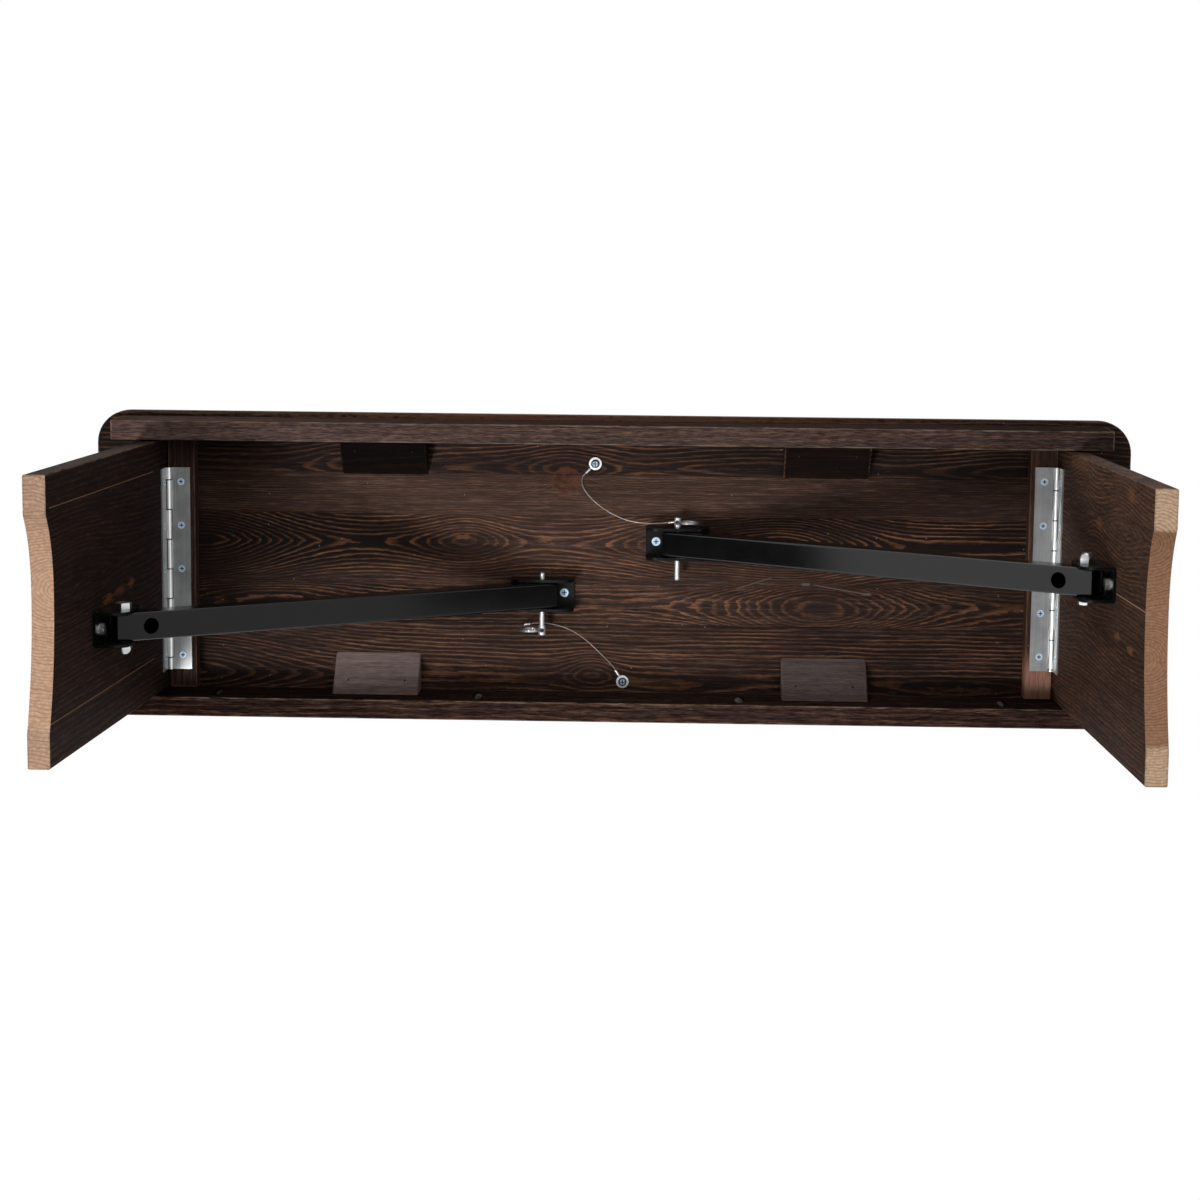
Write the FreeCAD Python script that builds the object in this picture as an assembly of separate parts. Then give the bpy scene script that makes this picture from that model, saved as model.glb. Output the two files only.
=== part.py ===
import FreeCAD, Part
import math
import os

# Folding farmhouse bench with its legs open and pinned, in millimetres.
# X runs along the seat, Y from front to back and Z up, from the floor under the seat's centre.

# Seat panel, glued up from boards
bench_length = 1016.0
bench_width = 298.0
bench_height = 457.0
seat_thickness = 20.0
seat_corner_radius = 32.0
seat_edge_radius = 5.0
# Widths of the boards from the front edge; the last board takes what is left
seat_board_widths = (58.0, 41.0, 107.0)
seam_groove = 0.5

# Aprons under the long edges, each held by a row of pocket screws
apron_inset = 28.0
apron_setback = 5.0
apron_thickness = 19.0
apron_height = 66.0
apron_edge_radius = 2.0
pocket_count = 4
pocket_end_distance = 95.0
pocket_angle = 15.0
pocket_diameter = 9.6
pocket_floor_depth = 12.0
pocket_head_diameter = 8.6
pocket_head_height = 2.4
pocket_shank_diameter = 4.0
pocket_screw_length = 26.0

# Cleats across the seat, which carry the hinges
cleat_width = 26.0
cleat_thickness = 18.0
cleat_end_gap = 2.0
cleat_lip = 1.0

# Triangular glue blocks in the corners of seat and aprons, each held by brads
block_side = 36.0
block_length = 84.0
block_edge_chamfer = 1.0
block_centres = {"front_left": -222.0, "front_right": 211.0, "rear_left": -229.0, "rear_right": 212.0}
brad_diameter = 1.8
brad_length = 30.0
brad_sink = 1.5
brad_offset = 12.0
brad_seat_pitch = 56.0
brad_apron_pitch = 24.0

# Leaf hinges between cleats and legs
hinge_inset = 75.0
hinge_offset = 5.0
hinge_length = 200.0
hinge_reach = 20.5
hinge_face_gap = 0.3
leaf_thickness = 1.4
knuckle_diameter = 5.6
knuckle_count = 8
knuckle_end_length = 12.0
knuckle_gap = 0.3
hinge_pin_diameter = 2.8
hinge_screw_count = 5
hinge_screw_pitch = 43.0
hinge_screw_line = 11.5
hinge_screw_head = 7.0
hinge_screw_shank = 3.6
hinge_screw_length = 14.0

# Legs, splayed a little outwards, with an arch between the feet
leg_thickness = 19.0
leg_side_clearance = 1.5
leg_splay = 2.5
leg_top_gap = 0.6
leg_edge_radius = 1.5
leg_seams = {"left": (-95.0, 86.0), "right": (-19.0,)}
arch_front_y = -90.0
arch_peak_y = -15.0
arch_rear_y = 94.0
arch_rise = 20.0
arch_front_power = 2.7
arch_rear_power = 2.0
arch_steps = 12
fold_angle = 88.4
fold_steps = 500

# U brackets, one on the seat and one on the leg for each brace
bracket_length = 62.0
bracket_inner_width = 26.2
bracket_plate = 2.6
bracket_height = 30.0
bracket_corner_radius = 12.0
bracket_bend_radius = 2.4
bracket_pin_height = 20.0
bracket_screw_pitch = 42.0
bracket_x = 66.0
bracket_y = 26.0
bracket_screw_head = 8.4
bracket_screw_shank = 4.2
bracket_screw_length = 15.0
leg_bracket_drop = 246.0

# Bolts of the leg bracket
lag_flats = 10.0
lag_head_height = 4.0
lag_shank_diameter = 6.0
lag_bite = 15.0
lag_washer_diameter = 12.0
lag_washer_thickness = 1.6
pivot_diameter = 8.0
pivot_flats = 13.0
pivot_head_height = 5.3
pivot_nut_height = 8.0
pivot_tail = 1.2

# Braces of square tube
tube_size = 25.0
tube_wall = 1.5
tube_corner_radius = 2.5
tube_past_pin = 9.5
tube_past_pivot = 11.0
tube_access_hole = 14.5
slot_clearance = 0.4

# Lock pins with pull rings
pin_diameter = 5.0
pin_shank_length = 52.5
pin_tip_chamfer = 1.0
pin_head_diameter = 7.0
pin_head_length = 9.0
pin_cross_hole = 4.4
pin_head_gap = 0.8
left_pin_withdrawn = 14.0
ring_mean_diameter = 22.5
ring_wire = 2.5

# Wire lanyards that keep the pins with the bench
lanyard_wire = 1.0
eye_diameter = 6.6
ferrule_diameter = 2.6
ferrule_length = 6.0
ferrule_distance = 10.3
lanyard_washer_diameter = 12.5
lanyard_washer_thickness = 1.2
lanyard_head_diameter = 8.2
lanyard_head_height = 2.8
lanyard_shank_diameter = 4.0
lanyard_screw_length = 14.0
lanyard_screw_x = {"left": 13.3, "right": -15.5}
lanyard_screw_inset = {"left": 10.6, "right": 23.0}
lanyard_lead_angle = {"left": 238.0, "right": 135.0}
lanyard_first_run = 5.0
arc_share_of_run = 0.45
# Each lanyard's route after its first run, as X, Y and the drop below the seat
lanyard_route = {
    "left": (
        (-2.4, 92.6, 2.2), (-9.0, 85.9, 3.4), (-16.0, 79.0, 4.8), (-23.4, 72.2, 6.4),
        (-31.8, 65.8, 8.4), (-41.4, 60.6, 10.6), (-51.4, 56.9, 12.7), (-61.4, 55.0, 14.4),
        (-70.5, 54.7, 15.7), (-78.0, 55.5, 16.5),
    ),
    "right": (
        (-28.6, -81.5, 2.4), (-25.0, -74.6, 3.8), (-18.6, -67.6, 5.8), (-10.0, -60.4, 8.2),
        (0.6, -54.0, 10.8), (12.6, -49.0, 13.4), (25.6, -46.0, 15.8), (38.6, -45.1, 17.7),
        (50.6, -45.7, 19.0), (60.0, -46.9, 19.7),
    ),
}

# Shapes of the fasteners' heads, as shares of the head that each belongs to
recess_span = 0.58
recess_arm_width = 0.25
recess_depth = 0.7
pan_rim_height = 0.45
pan_flat_width = 0.62
dome_height = 0.4
dome_flat_width = 0.75

# Fits
running_clearance = 0.08
screw_clearance = 0.05
seat_contact_gap = 0.05
# How far a cut runs past the face that it opens, and how near two levels count as one
cut_overrun = 1.0
level_tolerance = 0.01

# Levels and places that follow from the sizes above
vector = FreeCAD.Vector
axis_x = vector(1, 0, 0)
axis_y = vector(0, 1, 0)
axis_z = vector(0, 0, 1)
seat_underside = bench_height - seat_thickness
apron_length = bench_length - 2 * apron_inset
inner_width = bench_width - 2 * (apron_setback + apron_thickness)
hinge_stand_off = knuckle_diameter / 2 + hinge_face_gap
hinge_x = bench_length / 2 - hinge_inset
hinge_z = seat_underside - cleat_thickness - hinge_stand_off
hinge_centre = vector(hinge_x, -hinge_offset, hinge_z)
bracket_half_width = bracket_inner_width / 2 + bracket_plate
ends = {"left": -1, "right": 1}
seam_numbers = range(1, len(seat_board_widths) + 1)
seat_seams = [sum(seat_board_widths[:number]) - bench_width / 2 for number in seam_numbers]


def box(x0, x1, y0, y1, z0, z1):
    return Part.makeBox(x1 - x0, y1 - y0, z1 - z0, vector(x0, y0, z0))


def turned(*outline):
    points = [vector(radius, 0, height) for radius, height in outline]
    face = Part.Face(Part.makePolygon(points + points[:1]))
    return face.revolve(vector(), axis_z, 360)


def rod(start, end, diameter):
    return Part.makeCylinder(diameter / 2, (end - start).Length, start, end - start)


def aimed(shape, point, direction):
    placed = shape.copy()
    placed.Placement = FreeCAD.Placement(point, FreeCAD.Rotation(axis_z, direction))
    return placed


def at_end(shape, end):
    """The pieces are drawn for the right end; the left end is half a turn round from it."""
    placed = shape.copy()
    if ends[end] < 0:
        placed.rotate(vector(), axis_z, 180)
    return placed


def splayed(shape):
    placed = shape.copy()
    placed.rotate(vector(hinge_x, 0, hinge_z), axis_y, -leg_splay)
    return placed


def straight_edges(shape, direction, chosen):
    found = []
    for edge in shape.Edges:
        line = edge.Curve.TypeId == "Part::GeomLine"
        if line and abs(edge.Curve.Direction.dot(direction)) > 0.999 and chosen(edge.CenterOfMass):
            found.append(edge)
    return found


def near(value, level):
    return abs(value - level) < level_tolerance


def pattern(count, pitch):
    return [(number - (count - 1) / 2) * pitch for number in range(count)]


def save(name, *solids):
    shape = solids[0] if len(solids) == 1 else Part.makeCompound(list(solids))
    shape.exportStep("parts/" + name + ".step")


# Fasteners, drawn with their drive direction along +Z and their seat at Z = 0


def cross_recess(head, height):
    span = head * recess_span / 2
    arm_width = span * recess_arm_width
    depth = height * recess_depth
    arm = box(-span, span, -arm_width, arm_width, -depth, depth)
    other = arm.copy()
    other.rotate(vector(), axis_z, 90)
    return arm.fuse(other)


def countersunk(head, shank, length, room=0.0, above=0.0):
    """A countersunk screw, or with some room round it the hole that it is driven into."""
    cone = (head - shank) / 2
    outline = [(0, -above), (head / 2 + room, -above)]
    if above:
        outline.append((head / 2 + room, 0))
    outline += [(shank / 2 + room, cone), (shank / 2 + room, length - shank), (0, length + room)]
    return turned(*outline)


def countersunk_screw(head, shank, length):
    return countersunk(head, shank, length).cut(cross_recess(head, (head - shank) / 2))


def countersunk_hole(head, shank, length):
    return countersunk(head, shank, length, screw_clearance, head)


def hexagon(flats, height):
    corner = flats / math.sqrt(3)
    points = [vector(corner, 0, -height)]
    for number in range(1, 7):
        turn = math.radians(60 * number)
        points.append(vector(corner * math.cos(turn), corner * math.sin(turn), -height))
    prism = Part.Face(Part.makePolygon(points)).extrude(vector(0, 0, height))
    slope = (corner - flats / 2) * math.tan(math.radians(30))
    rounding = turned((0, -height), (flats / 2, -height), (corner, slope - height), (corner, 0), (0, 0))
    return prism.common(rounding)


def hex_bolt(flats, head_height, shank, length):
    return hexagon(flats, head_height).fuse(Part.makeCylinder(shank / 2, length))


# Seat panel


def seat_panel():
    x, y = bench_length / 2, bench_width / 2
    panel = box(-x, x, -y, y, seat_underside, bench_height)
    corners = straight_edges(panel, axis_z, lambda centre: True)
    panel = panel.makeFillet(seat_corner_radius, corners)
    levels = (seat_underside, bench_height)
    rims = [edge for edge in panel.Edges if any(near(edge.CenterOfMass.z, level) for level in levels)]
    return panel.makeFillet(seat_edge_radius, rims)


def seam_bar(length):
    points = [vector(seam_groove, 0, 0), vector(0, seam_groove, 0), vector(-seam_groove, 0, 0)]
    points += [vector(0, -seam_groove, 0), points[0]]
    return Part.Face(Part.makePolygon(points)).extrude(vector(0, 0, length))


def sliced(panel, seams):
    """The boards of a glued-up panel, from front to back."""
    bounds = panel.BoundBox
    bounds.enlarge(cut_overrun)
    edges = [bounds.YMin] + list(seams) + [bounds.YMax]
    boards = []
    for front, rear in zip(edges, edges[1:]):
        slab = box(bounds.XMin, bounds.XMax, front, rear, bounds.ZMin, bounds.ZMax)
        boards.append(panel.common(slab))
    return boards


# Aprons and their pocket screws


def apron(side):
    inner = inner_width / 2
    outer = inner + apron_thickness
    bottom = seat_underside - apron_height
    y0, y1 = sorted((side * inner, side * outer))
    board = box(-apron_length / 2, apron_length / 2, y0, y1, bottom, seat_underside)
    lower_edges = straight_edges(board, axis_x, lambda centre: near(centre.z, bottom))
    return board.makeFillet(apron_edge_radius, lower_edges)


def pocket_places():
    """Each pocket screw's seat and direction: it rises from the apron's inner side into the seat."""
    lean = math.radians(pocket_angle)
    pitch = (apron_length - 2 * pocket_end_distance) / (pocket_count - 1)
    places = []
    for side in (-1, 1):
        direction = vector(0, side * math.sin(lean), math.cos(lean))
        for x in pattern(pocket_count, pitch):
            joint = vector(x, side * (inner_width + apron_thickness) / 2, seat_underside)
            places.append((joint - direction * pocket_floor_depth, direction))
    return places


def pocket_screw():
    head = Part.makeCylinder(pocket_head_diameter / 2, pocket_head_height, vector(0, 0, -pocket_head_height))
    stem = countersunk(pocket_shank_diameter, pocket_shank_diameter, pocket_screw_length)
    recess = cross_recess(pocket_head_diameter, pocket_head_height)
    recess.translate(vector(0, 0, -pocket_head_height))
    return head.fuse(stem).cut(recess)


def pocket_hole():
    mouth = Part.makeCylinder(pocket_diameter / 2, apron_height, vector(0, 0, -apron_height))
    shank = pocket_shank_diameter
    pilot = countersunk(shank, shank, pocket_screw_length, screw_clearance, cut_overrun)
    return mouth.fuse(pilot)


# Cleats and glue blocks


def cleat():
    outer = hinge_x + cleat_lip
    reach = inner_width / 2 - cleat_end_gap
    return box(outer - cleat_width, outer, -reach, reach, seat_underside - cleat_thickness, seat_underside)


def glue_block(place):
    side = -1 if place.startswith("front") else 1
    corner = side * inner_width / 2
    start = block_centres[place] - block_length / 2
    points = [
        vector(start, corner, seat_underside),
        vector(start, corner - side * block_side, seat_underside),
        vector(start, corner, seat_underside - block_side),
    ]
    block = Part.Face(Part.makePolygon(points + points[:1])).extrude(vector(block_length, 0, 0))
    slant_ends = [e for e in block.Edges if near(abs(e.CenterOfMass.z - seat_underside), block_side / 2)
                  and near(abs(e.CenterOfMass.y - corner), block_side / 2)]
    return block.makeChamfer(block_edge_chamfer, slant_ends)


def brad_places(place):
    """Each brad's entry on the block's slanted face and its direction, into the seat or into the apron."""
    side = -1 if place.startswith("front") else 1
    middle = block_centres[place]
    corner = side * inner_width / 2
    deep = block_side - brad_offset
    places = []
    for x in pattern(2, brad_seat_pitch):
        places.append((vector(middle + x, corner - side * brad_offset, seat_underside - deep), axis_z))
    for x in pattern(2, brad_apron_pitch):
        entry = vector(middle + x, corner - side * deep, seat_underside - brad_offset)
        places.append((entry, vector(0, side, 0)))
    return places


def brad():
    return Part.makeCylinder(brad_diameter / 2, brad_length, vector(0, 0, brad_sink))


def brad_hole():
    above = vector(0, 0, -brad_offset)
    depth = brad_sink + brad_length + screw_clearance
    return Part.makeCylinder(brad_diameter / 2 + screw_clearance, depth + brad_offset, above)


# Hinges, drawn about the pin's axis along Y, with the leaf's mounting face up


def knuckle_spans():
    middle = (hinge_length - 2 * knuckle_end_length) / (knuckle_count - 2)
    spans = []
    start = -hinge_length / 2
    for number in range(knuckle_count):
        length = knuckle_end_length if number in (0, knuckle_count - 1) else middle
        spans.append((start, start + length))
        start += length
    return spans


def hinge_screw_points():
    return [vector(-hinge_screw_line, y, hinge_stand_off - leaf_thickness)
            for y in pattern(hinge_screw_count, hinge_screw_pitch)]


def hinge_leaf():
    under = hinge_stand_off - leaf_thickness
    plate_edge = -hinge_stand_off
    leaf = box(-hinge_reach, plate_edge, -hinge_length / 2, hinge_length / 2, under, hinge_stand_off)
    for start, end in knuckle_spans()[::2]:
        front = start + knuckle_gap / 2
        rear = end - knuckle_gap / 2
        barrel = rod(vector(0, front, 0), vector(0, rear, 0), knuckle_diameter)
        leaf = leaf.fuse([barrel, box(plate_edge - cut_overrun, 0, front, rear, under, hinge_stand_off)])
    leaf = leaf.removeSplitter()
    bore = hinge_pin_diameter + 2 * running_clearance
    cuts = [rod(vector(0, -hinge_length, 0), vector(0, hinge_length, 0), bore)]
    hole = countersunk_hole(hinge_screw_head, hinge_screw_shank, hinge_screw_length)
    cuts += [aimed(hole, point, axis_z) for point in hinge_screw_points()]
    return leaf.cut(cuts)


def on_cleat(shape):
    placed = shape.copy()
    placed.translate(hinge_centre)
    return placed


def on_leg(shape):
    """A leaf turned over, so that it meets the leg and its knuckles fill the other leaf's gaps."""
    placed = shape.copy()
    placed.rotate(vector(), vector(1, 0, 1), 180)
    placed.translate(hinge_centre)
    return splayed(placed)


# U brackets, drawn with the mounting face at Z = 0 and the ears rising


def u_bracket(bore):
    half = bracket_length / 2
    body = box(-half, half, -bracket_half_width, bracket_half_width, 0, bracket_height)
    ear_corners = straight_edges(body, axis_y, lambda centre: near(centre.z, bracket_height))
    body = body.makeFillet(bracket_corner_radius, ear_corners)
    bends = straight_edges(body, axis_x, lambda centre: near(centre.z, 0))
    body = body.makeFillet(bracket_bend_radius, bends)
    gap = bracket_inner_width / 2
    channel = box(-bracket_length, bracket_length, -gap, gap, bracket_plate, 2 * bracket_height)
    hole_ends = [vector(0, side * bracket_length, bracket_pin_height) for side in (-1, 1)]
    return body.cut([channel, rod(hole_ends[0], hole_ends[1], bore)])


def under_seat(shape):
    placed = shape.copy()
    placed.rotate(vector(), axis_x, 180)
    placed.translate(vector(bracket_x, -bracket_y, seat_underside))
    return placed


def inside_leg(shape):
    placed = shape.copy()
    placed.rotate(vector(), axis_y, -90)
    placed.translate(vector(hinge_x + hinge_stand_off, -bracket_y, hinge_z - leg_bracket_drop))
    return splayed(placed)


def bracket_fixings(shape, height):
    return [aimed(shape, vector(x, 0, height), -axis_z) for x in pattern(2, bracket_screw_pitch)]


# Pivot of the brace on the leg's bracket


def pivot_bolt():
    reach = 2 * bracket_half_width + pivot_nut_height + pivot_tail
    bolt = hex_bolt(pivot_flats, pivot_head_height, pivot_diameter, reach)
    return aimed(bolt, vector(0, bracket_half_width, bracket_pin_height), -axis_y)


def pivot_nut():
    dome = pivot_flats / 2
    flat = dome * dome_flat_width
    top = pivot_nut_height
    waist = top * (1 - dome_height)
    collar = turned((0, 0), (dome, 0), (dome, -waist), (flat, -top), (0, -top))
    bore = rod(vector(0, 0, -2 * top), vector(0, 0, top), pivot_diameter + 2 * screw_clearance)
    nut = hexagon(pivot_flats, waist).fuse(collar).cut(bore)
    return aimed(nut, vector(0, -bracket_half_width, bracket_pin_height), axis_y)


# Braces, drawn from the pivot along +X to the lock pin, with the seat's side up


def leg_point(outward, up, splay):
    """A point of the right leg, measured from the hinge's axis, at some splay."""
    turn = math.radians(splay)
    x = hinge_x + outward * math.cos(turn) - up * math.sin(turn)
    z = hinge_z + outward * math.sin(turn) + up * math.cos(turn)
    return vector(x, -bracket_y, z)


def pivot_at(splay):
    return leg_point(hinge_stand_off - bracket_pin_height, -leg_bracket_drop, splay)


pivot_point = pivot_at(leg_splay)
pin_point = vector(bracket_x, -bracket_y, seat_underside - bracket_pin_height)
brace_length = (pin_point - pivot_point).Length
brace_slope = math.atan2(pin_point.z - pivot_point.z, pivot_point.x - pin_point.x)


def brace_axes(slope):
    along = vector(-math.cos(slope), 0, math.sin(slope))
    upper = vector(math.sin(slope), 0, math.cos(slope))
    return along, upper


def pin_seen_from_brace(share):
    """Where the lock pin's axis lies beside the brace when the leg has made this share of its fold."""
    along, upper = brace_axes(brace_slope * (1 - share))
    reach = pin_point - pivot_at(leg_splay - share * fold_angle)
    return vector(reach.dot(along), 0, reach.dot(upper))


def pin_slot():
    """The way that the pin's axis takes out of the brace as the leg folds, open to the seat's side."""
    width = pin_diameter + 2 * slot_clearance
    start = vector(brace_length, 0, 0)
    step = 0
    while pin_seen_from_brace(step / fold_steps).z < tube_size / 2 + pin_diameter:
        step += 1
    end = pin_seen_from_brace(step / fold_steps)
    slot = rod(vector(brace_length, -tube_size, 0), vector(brace_length, tube_size, 0), width)
    bar = box(0, (end - start).Length, -tube_size, tube_size, -width / 2, width / 2)
    bar.Placement = FreeCAD.Placement(start, FreeCAD.Rotation(axis_x, end - start))
    return slot.fuse(bar)


def brace_tube():
    half = tube_size / 2
    start = -tube_past_pivot
    end = brace_length + tube_past_pin
    outside = box(start, end, -half, half, -half, half)
    outside = outside.makeFillet(tube_corner_radius, straight_edges(outside, axis_x, lambda centre: True))
    bore = half - tube_wall
    inner_radius = tube_corner_radius - tube_wall
    inside = box(start - cut_overrun, end + cut_overrun, -bore, bore, -bore, bore)
    inside = inside.makeFillet(inner_radius, straight_edges(inside, axis_x, lambda centre: True))
    pivot_bore = pivot_diameter + 2 * running_clearance
    pivot_hole = rod(vector(0, -tube_size, 0), vector(0, tube_size, 0), pivot_bore)
    access_x = bracket_screw_pitch / 2
    access_hole = rod(vector(access_x, 0, -tube_size), vector(access_x, 0, 0), tube_access_hole)
    tube = outside.cut([inside, pivot_hole, access_hole, pin_slot()])
    along, upper = brace_axes(brace_slope)
    tube.Placement = FreeCAD.Placement(pivot_point, FreeCAD.Rotation(along, -axis_y, upper))
    return tube


# Lock pins, drawn for the right end with the head in front of the bracket


def pin_head_y(end):
    withdrawn = left_pin_withdrawn if end == "left" else 0.0
    return -bracket_y - bracket_half_width - pin_head_gap - withdrawn


def lock_pin(end):
    radius = pin_diameter / 2
    tip = pin_shank_length
    waist = tip - pin_tip_chamfer
    shank = turned((0, 0), (radius, 0), (radius, waist), (radius - pin_tip_chamfer, tip), (0, tip))
    head = Part.makeCylinder(pin_head_diameter / 2, pin_head_length, vector(0, 0, -pin_head_length))
    across = vector(0, pin_head_diameter, -pin_head_length / 2)
    hole = rod(across, vector(0, -pin_head_diameter, -pin_head_length / 2), pin_cross_hole)
    pin = shank.fuse(head).cut(hole)
    return aimed(pin, vector(pin_point.x, pin_head_y(end), pin_point.z), axis_y)


def pull_ring(end):
    radius = ring_mean_diameter / 2
    centre = vector(pin_point.x + radius, pin_head_y(end) - pin_head_length / 2, pin_point.z)
    return Part.makeTorus(radius, ring_wire / 2, centre, axis_y)


# Lanyards


def lanyard_frame(end):
    """The lanyard screw's place on the seat's underside and the direction in which the wire leads off."""
    y = ends[end] * (lanyard_screw_inset[end] - inner_width / 2)
    turn = math.radians(lanyard_lead_angle[end])
    return vector(lanyard_screw_x[end], y, seat_underside), vector(math.cos(turn), math.sin(turn), 0)


def ferrule_ends(end):
    screw, lead = lanyard_frame(end)
    level = vector(0, 0, -ferrule_diameter / 2 - seat_contact_gap)
    near_end = screw + lead * (ferrule_distance - ferrule_length / 2) + level
    return near_end, near_end + lead * ferrule_length


def lanyard_ferrule(end):
    """The crimped ferrule and the wire eye that it closes round the screw."""
    screw, lead = lanyard_frame(end)
    near_end, far_end = ferrule_ends(end)
    level = vector(0, 0, -lanyard_wire / 2 - seat_contact_gap)
    eye = Part.makeTorus(eye_diameter / 2, lanyard_wire / 2, screw + level, axis_z)
    eye_side = screw + lead * (eye_diameter / 2) + level
    stem_end = vector(near_end.x, near_end.y, eye_side.z)
    stem = rod(eye_side, stem_end, lanyard_wire)
    return rod(near_end, far_end, ferrule_diameter), eye.fuse(stem)


def washer_level():
    return seat_underside - lanyard_wire - 2 * seat_contact_gap


def lanyard_washer(end):
    screw, lead = lanyard_frame(end)
    bore = lanyard_shank_diameter / 2 + 2 * screw_clearance
    ring = Part.makeCylinder(lanyard_washer_diameter / 2, lanyard_washer_thickness)
    ring = ring.cut(Part.makeCylinder(bore, lanyard_washer_thickness))
    ring.translate(vector(screw.x, screw.y, washer_level() - lanyard_washer_thickness))
    return ring


def lanyard_screw_place(end):
    screw, lead = lanyard_frame(end)
    return vector(screw.x, screw.y, washer_level() - lanyard_washer_thickness)


def lanyard_screw():
    radius = lanyard_head_diameter / 2
    crown = lanyard_head_height
    rim = crown * pan_rim_height
    head = turned((0, 0), (radius, 0), (radius, -rim), (radius * pan_flat_width, -crown), (0, -crown))
    stem = countersunk(lanyard_shank_diameter, lanyard_shank_diameter, lanyard_screw_length)
    recess = cross_recess(lanyard_head_diameter, lanyard_head_height)
    recess.translate(vector(0, 0, -crown))
    return head.fuse(stem).cut(recess)


def lanyard_hole():
    shank = lanyard_shank_diameter
    return countersunk(shank, shank, lanyard_screw_length, screw_clearance, cut_overrun)


def wire_route(name, points):
    """Straight runs joined by tangent arcs, each arc as large as its two runs allow."""
    edges = []
    radii = []
    start = points[0]
    for before, point, after in zip(points, points[1:], points[2:]):
        arriving = (point - before).normalize()
        leaving = (after - point).normalize()
        turn = arriving.getAngle(leaving)
        trim = arc_share_of_run * min((point - before).Length, (after - point).Length)
        radius = trim / math.tan(turn / 2)
        radii.append(radius)
        arc_start = point - arriving * trim
        arc_end = point + leaving * trim
        inward = (leaving - arriving).normalize()
        arc_middle = point + inward * (radius * (1 / math.cos(turn / 2) - 1))
        edges.append(Part.LineSegment(start, arc_start).toShape())
        edges.append(Part.Arc(arc_start, arc_middle, arc_end).toShape())
        start = arc_end
    edges.append(Part.LineSegment(start, points[-1]).toShape())
    print(name, "radii", [round(radius, 1) for radius in radii])
    return Part.Wire(edges)


def lanyard_points(end):
    screw, lead = lanyard_frame(end)
    start = ferrule_ends(end)[1]
    points = [start, start + lead * lanyard_first_run]
    for x, y, drop in lanyard_route[end]:
        points.append(vector(x, y, seat_underside - drop))
    return points


def lanyard(end):
    points = lanyard_points(end)
    name = end + "_lanyard_wire"
    route = wire_route(name, points)
    circle = Part.Circle(points[0], points[1] - points[0], lanyard_wire / 2)
    wire = route.makePipeShell([Part.Wire(circle.toShape())], True, False)
    plain_volume = route.Length * math.pi * lanyard_wire ** 2 / 4
    print(name, "length", round(route.Length, 1), "volume ratio", round(wire.Volume / plain_volume, 4))
    return wire


def end_ferrule(end):
    points = lanyard_points(end)
    lead = (points[-1] - points[-2]).normalize()
    return rod(points[-1], points[-1] + lead * ferrule_length, ferrule_diameter)


# Legs


def arch_height(y):
    if y < arch_peak_y:
        share = (arch_peak_y - y) / (arch_peak_y - arch_front_y)
        return arch_rise * (1 - share ** arch_front_power)
    share = (y - arch_peak_y) / (arch_rear_y - arch_peak_y)
    return arch_rise * (1 - share ** arch_rear_power)


def foot_arch():
    step = (arch_rear_y - arch_front_y) / arch_steps
    start = -bench_length / 2
    points = [vector(start, arch_front_y + step * number, 0) for number in range(arch_steps + 1)]
    for point in points:
        point.z = arch_height(point.y)
    curve = Part.BSplineCurve()
    curve.interpolate(points)
    below = vector(0, 0, -arch_rise)
    sill = Part.makePolygon([points[-1], points[-1] + below, points[0] + below, points[0]])
    return Part.Face(Part.Wire([curve.toShape()] + sill.Edges)).extrude(vector(bench_length, 0, 0))


def leg_panel(end):
    inner = hinge_x + hinge_stand_off
    outer = inner + leg_thickness
    lean = math.radians(leg_splay)
    room = seat_underside - hinge_z - leg_top_gap
    top = hinge_z + (room - (outer - hinge_x) * math.sin(lean)) / math.cos(lean)
    bottom = hinge_z - bench_height
    half = inner_width / 2 - leg_side_clearance
    panel = box(inner, outer, -half, half, bottom, top)
    panel = panel.makeFillet(leg_edge_radius, straight_edges(panel, axis_z, lambda centre: True))
    bar = seam_bar(top - bottom)
    for seam in leg_seams[end]:
        for face in (inner, outer):
            panel = panel.cut(aimed(bar, vector(face, ends[end] * seam, bottom), axis_z))
    screw_hole = countersunk_hole(hinge_screw_head, hinge_screw_shank, hinge_screw_length)
    lag_hole = Part.makeCylinder(lag_shank_diameter / 2 + screw_clearance, lag_bite + screw_clearance)
    cuts = [on_leg(aimed(screw_hole, point, axis_z)) for point in hinge_screw_points()]
    cuts += [inside_leg(hole) for hole in bracket_fixings(lag_hole, 0)]
    cuts.append(box(hinge_x - bench_height, bench_length, -bench_width, bench_width, -bench_height, 0))
    return at_end(splayed(panel).cut(cuts), end).cut(foot_arch())


# Build every piece


os.makedirs("parts", exist_ok=True)

seat = seat_panel()
for seam in seat_seams:
    for level in (seat_underside, bench_height):
        seat = seat.cut(aimed(seam_bar(bench_length), vector(-bench_length / 2, seam, level), axis_x))

pocket_holes = [aimed(pocket_hole(), point, direction) for point, direction in pocket_places()]
brads = []
brad_holes = []
for place in block_centres:
    brads += [aimed(brad(), entry, direction) for entry, direction in brad_places(place)]
    brad_holes += [aimed(brad_hole(), entry, direction) for entry, direction in brad_places(place)]
lanyard_holes = [aimed(lanyard_hole(), lanyard_screw_place(end), axis_z) for end in ends]
bracket_hole = countersunk_hole(bracket_screw_head, bracket_screw_shank, bracket_screw_length)
bracket_holes = [under_seat(hole) for hole in bracket_fixings(bracket_hole, bracket_plate)]
seat_holes = pocket_holes + brad_holes + lanyard_holes
seat_holes += [at_end(hole, end) for hole in bracket_holes for end in ends]

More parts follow.
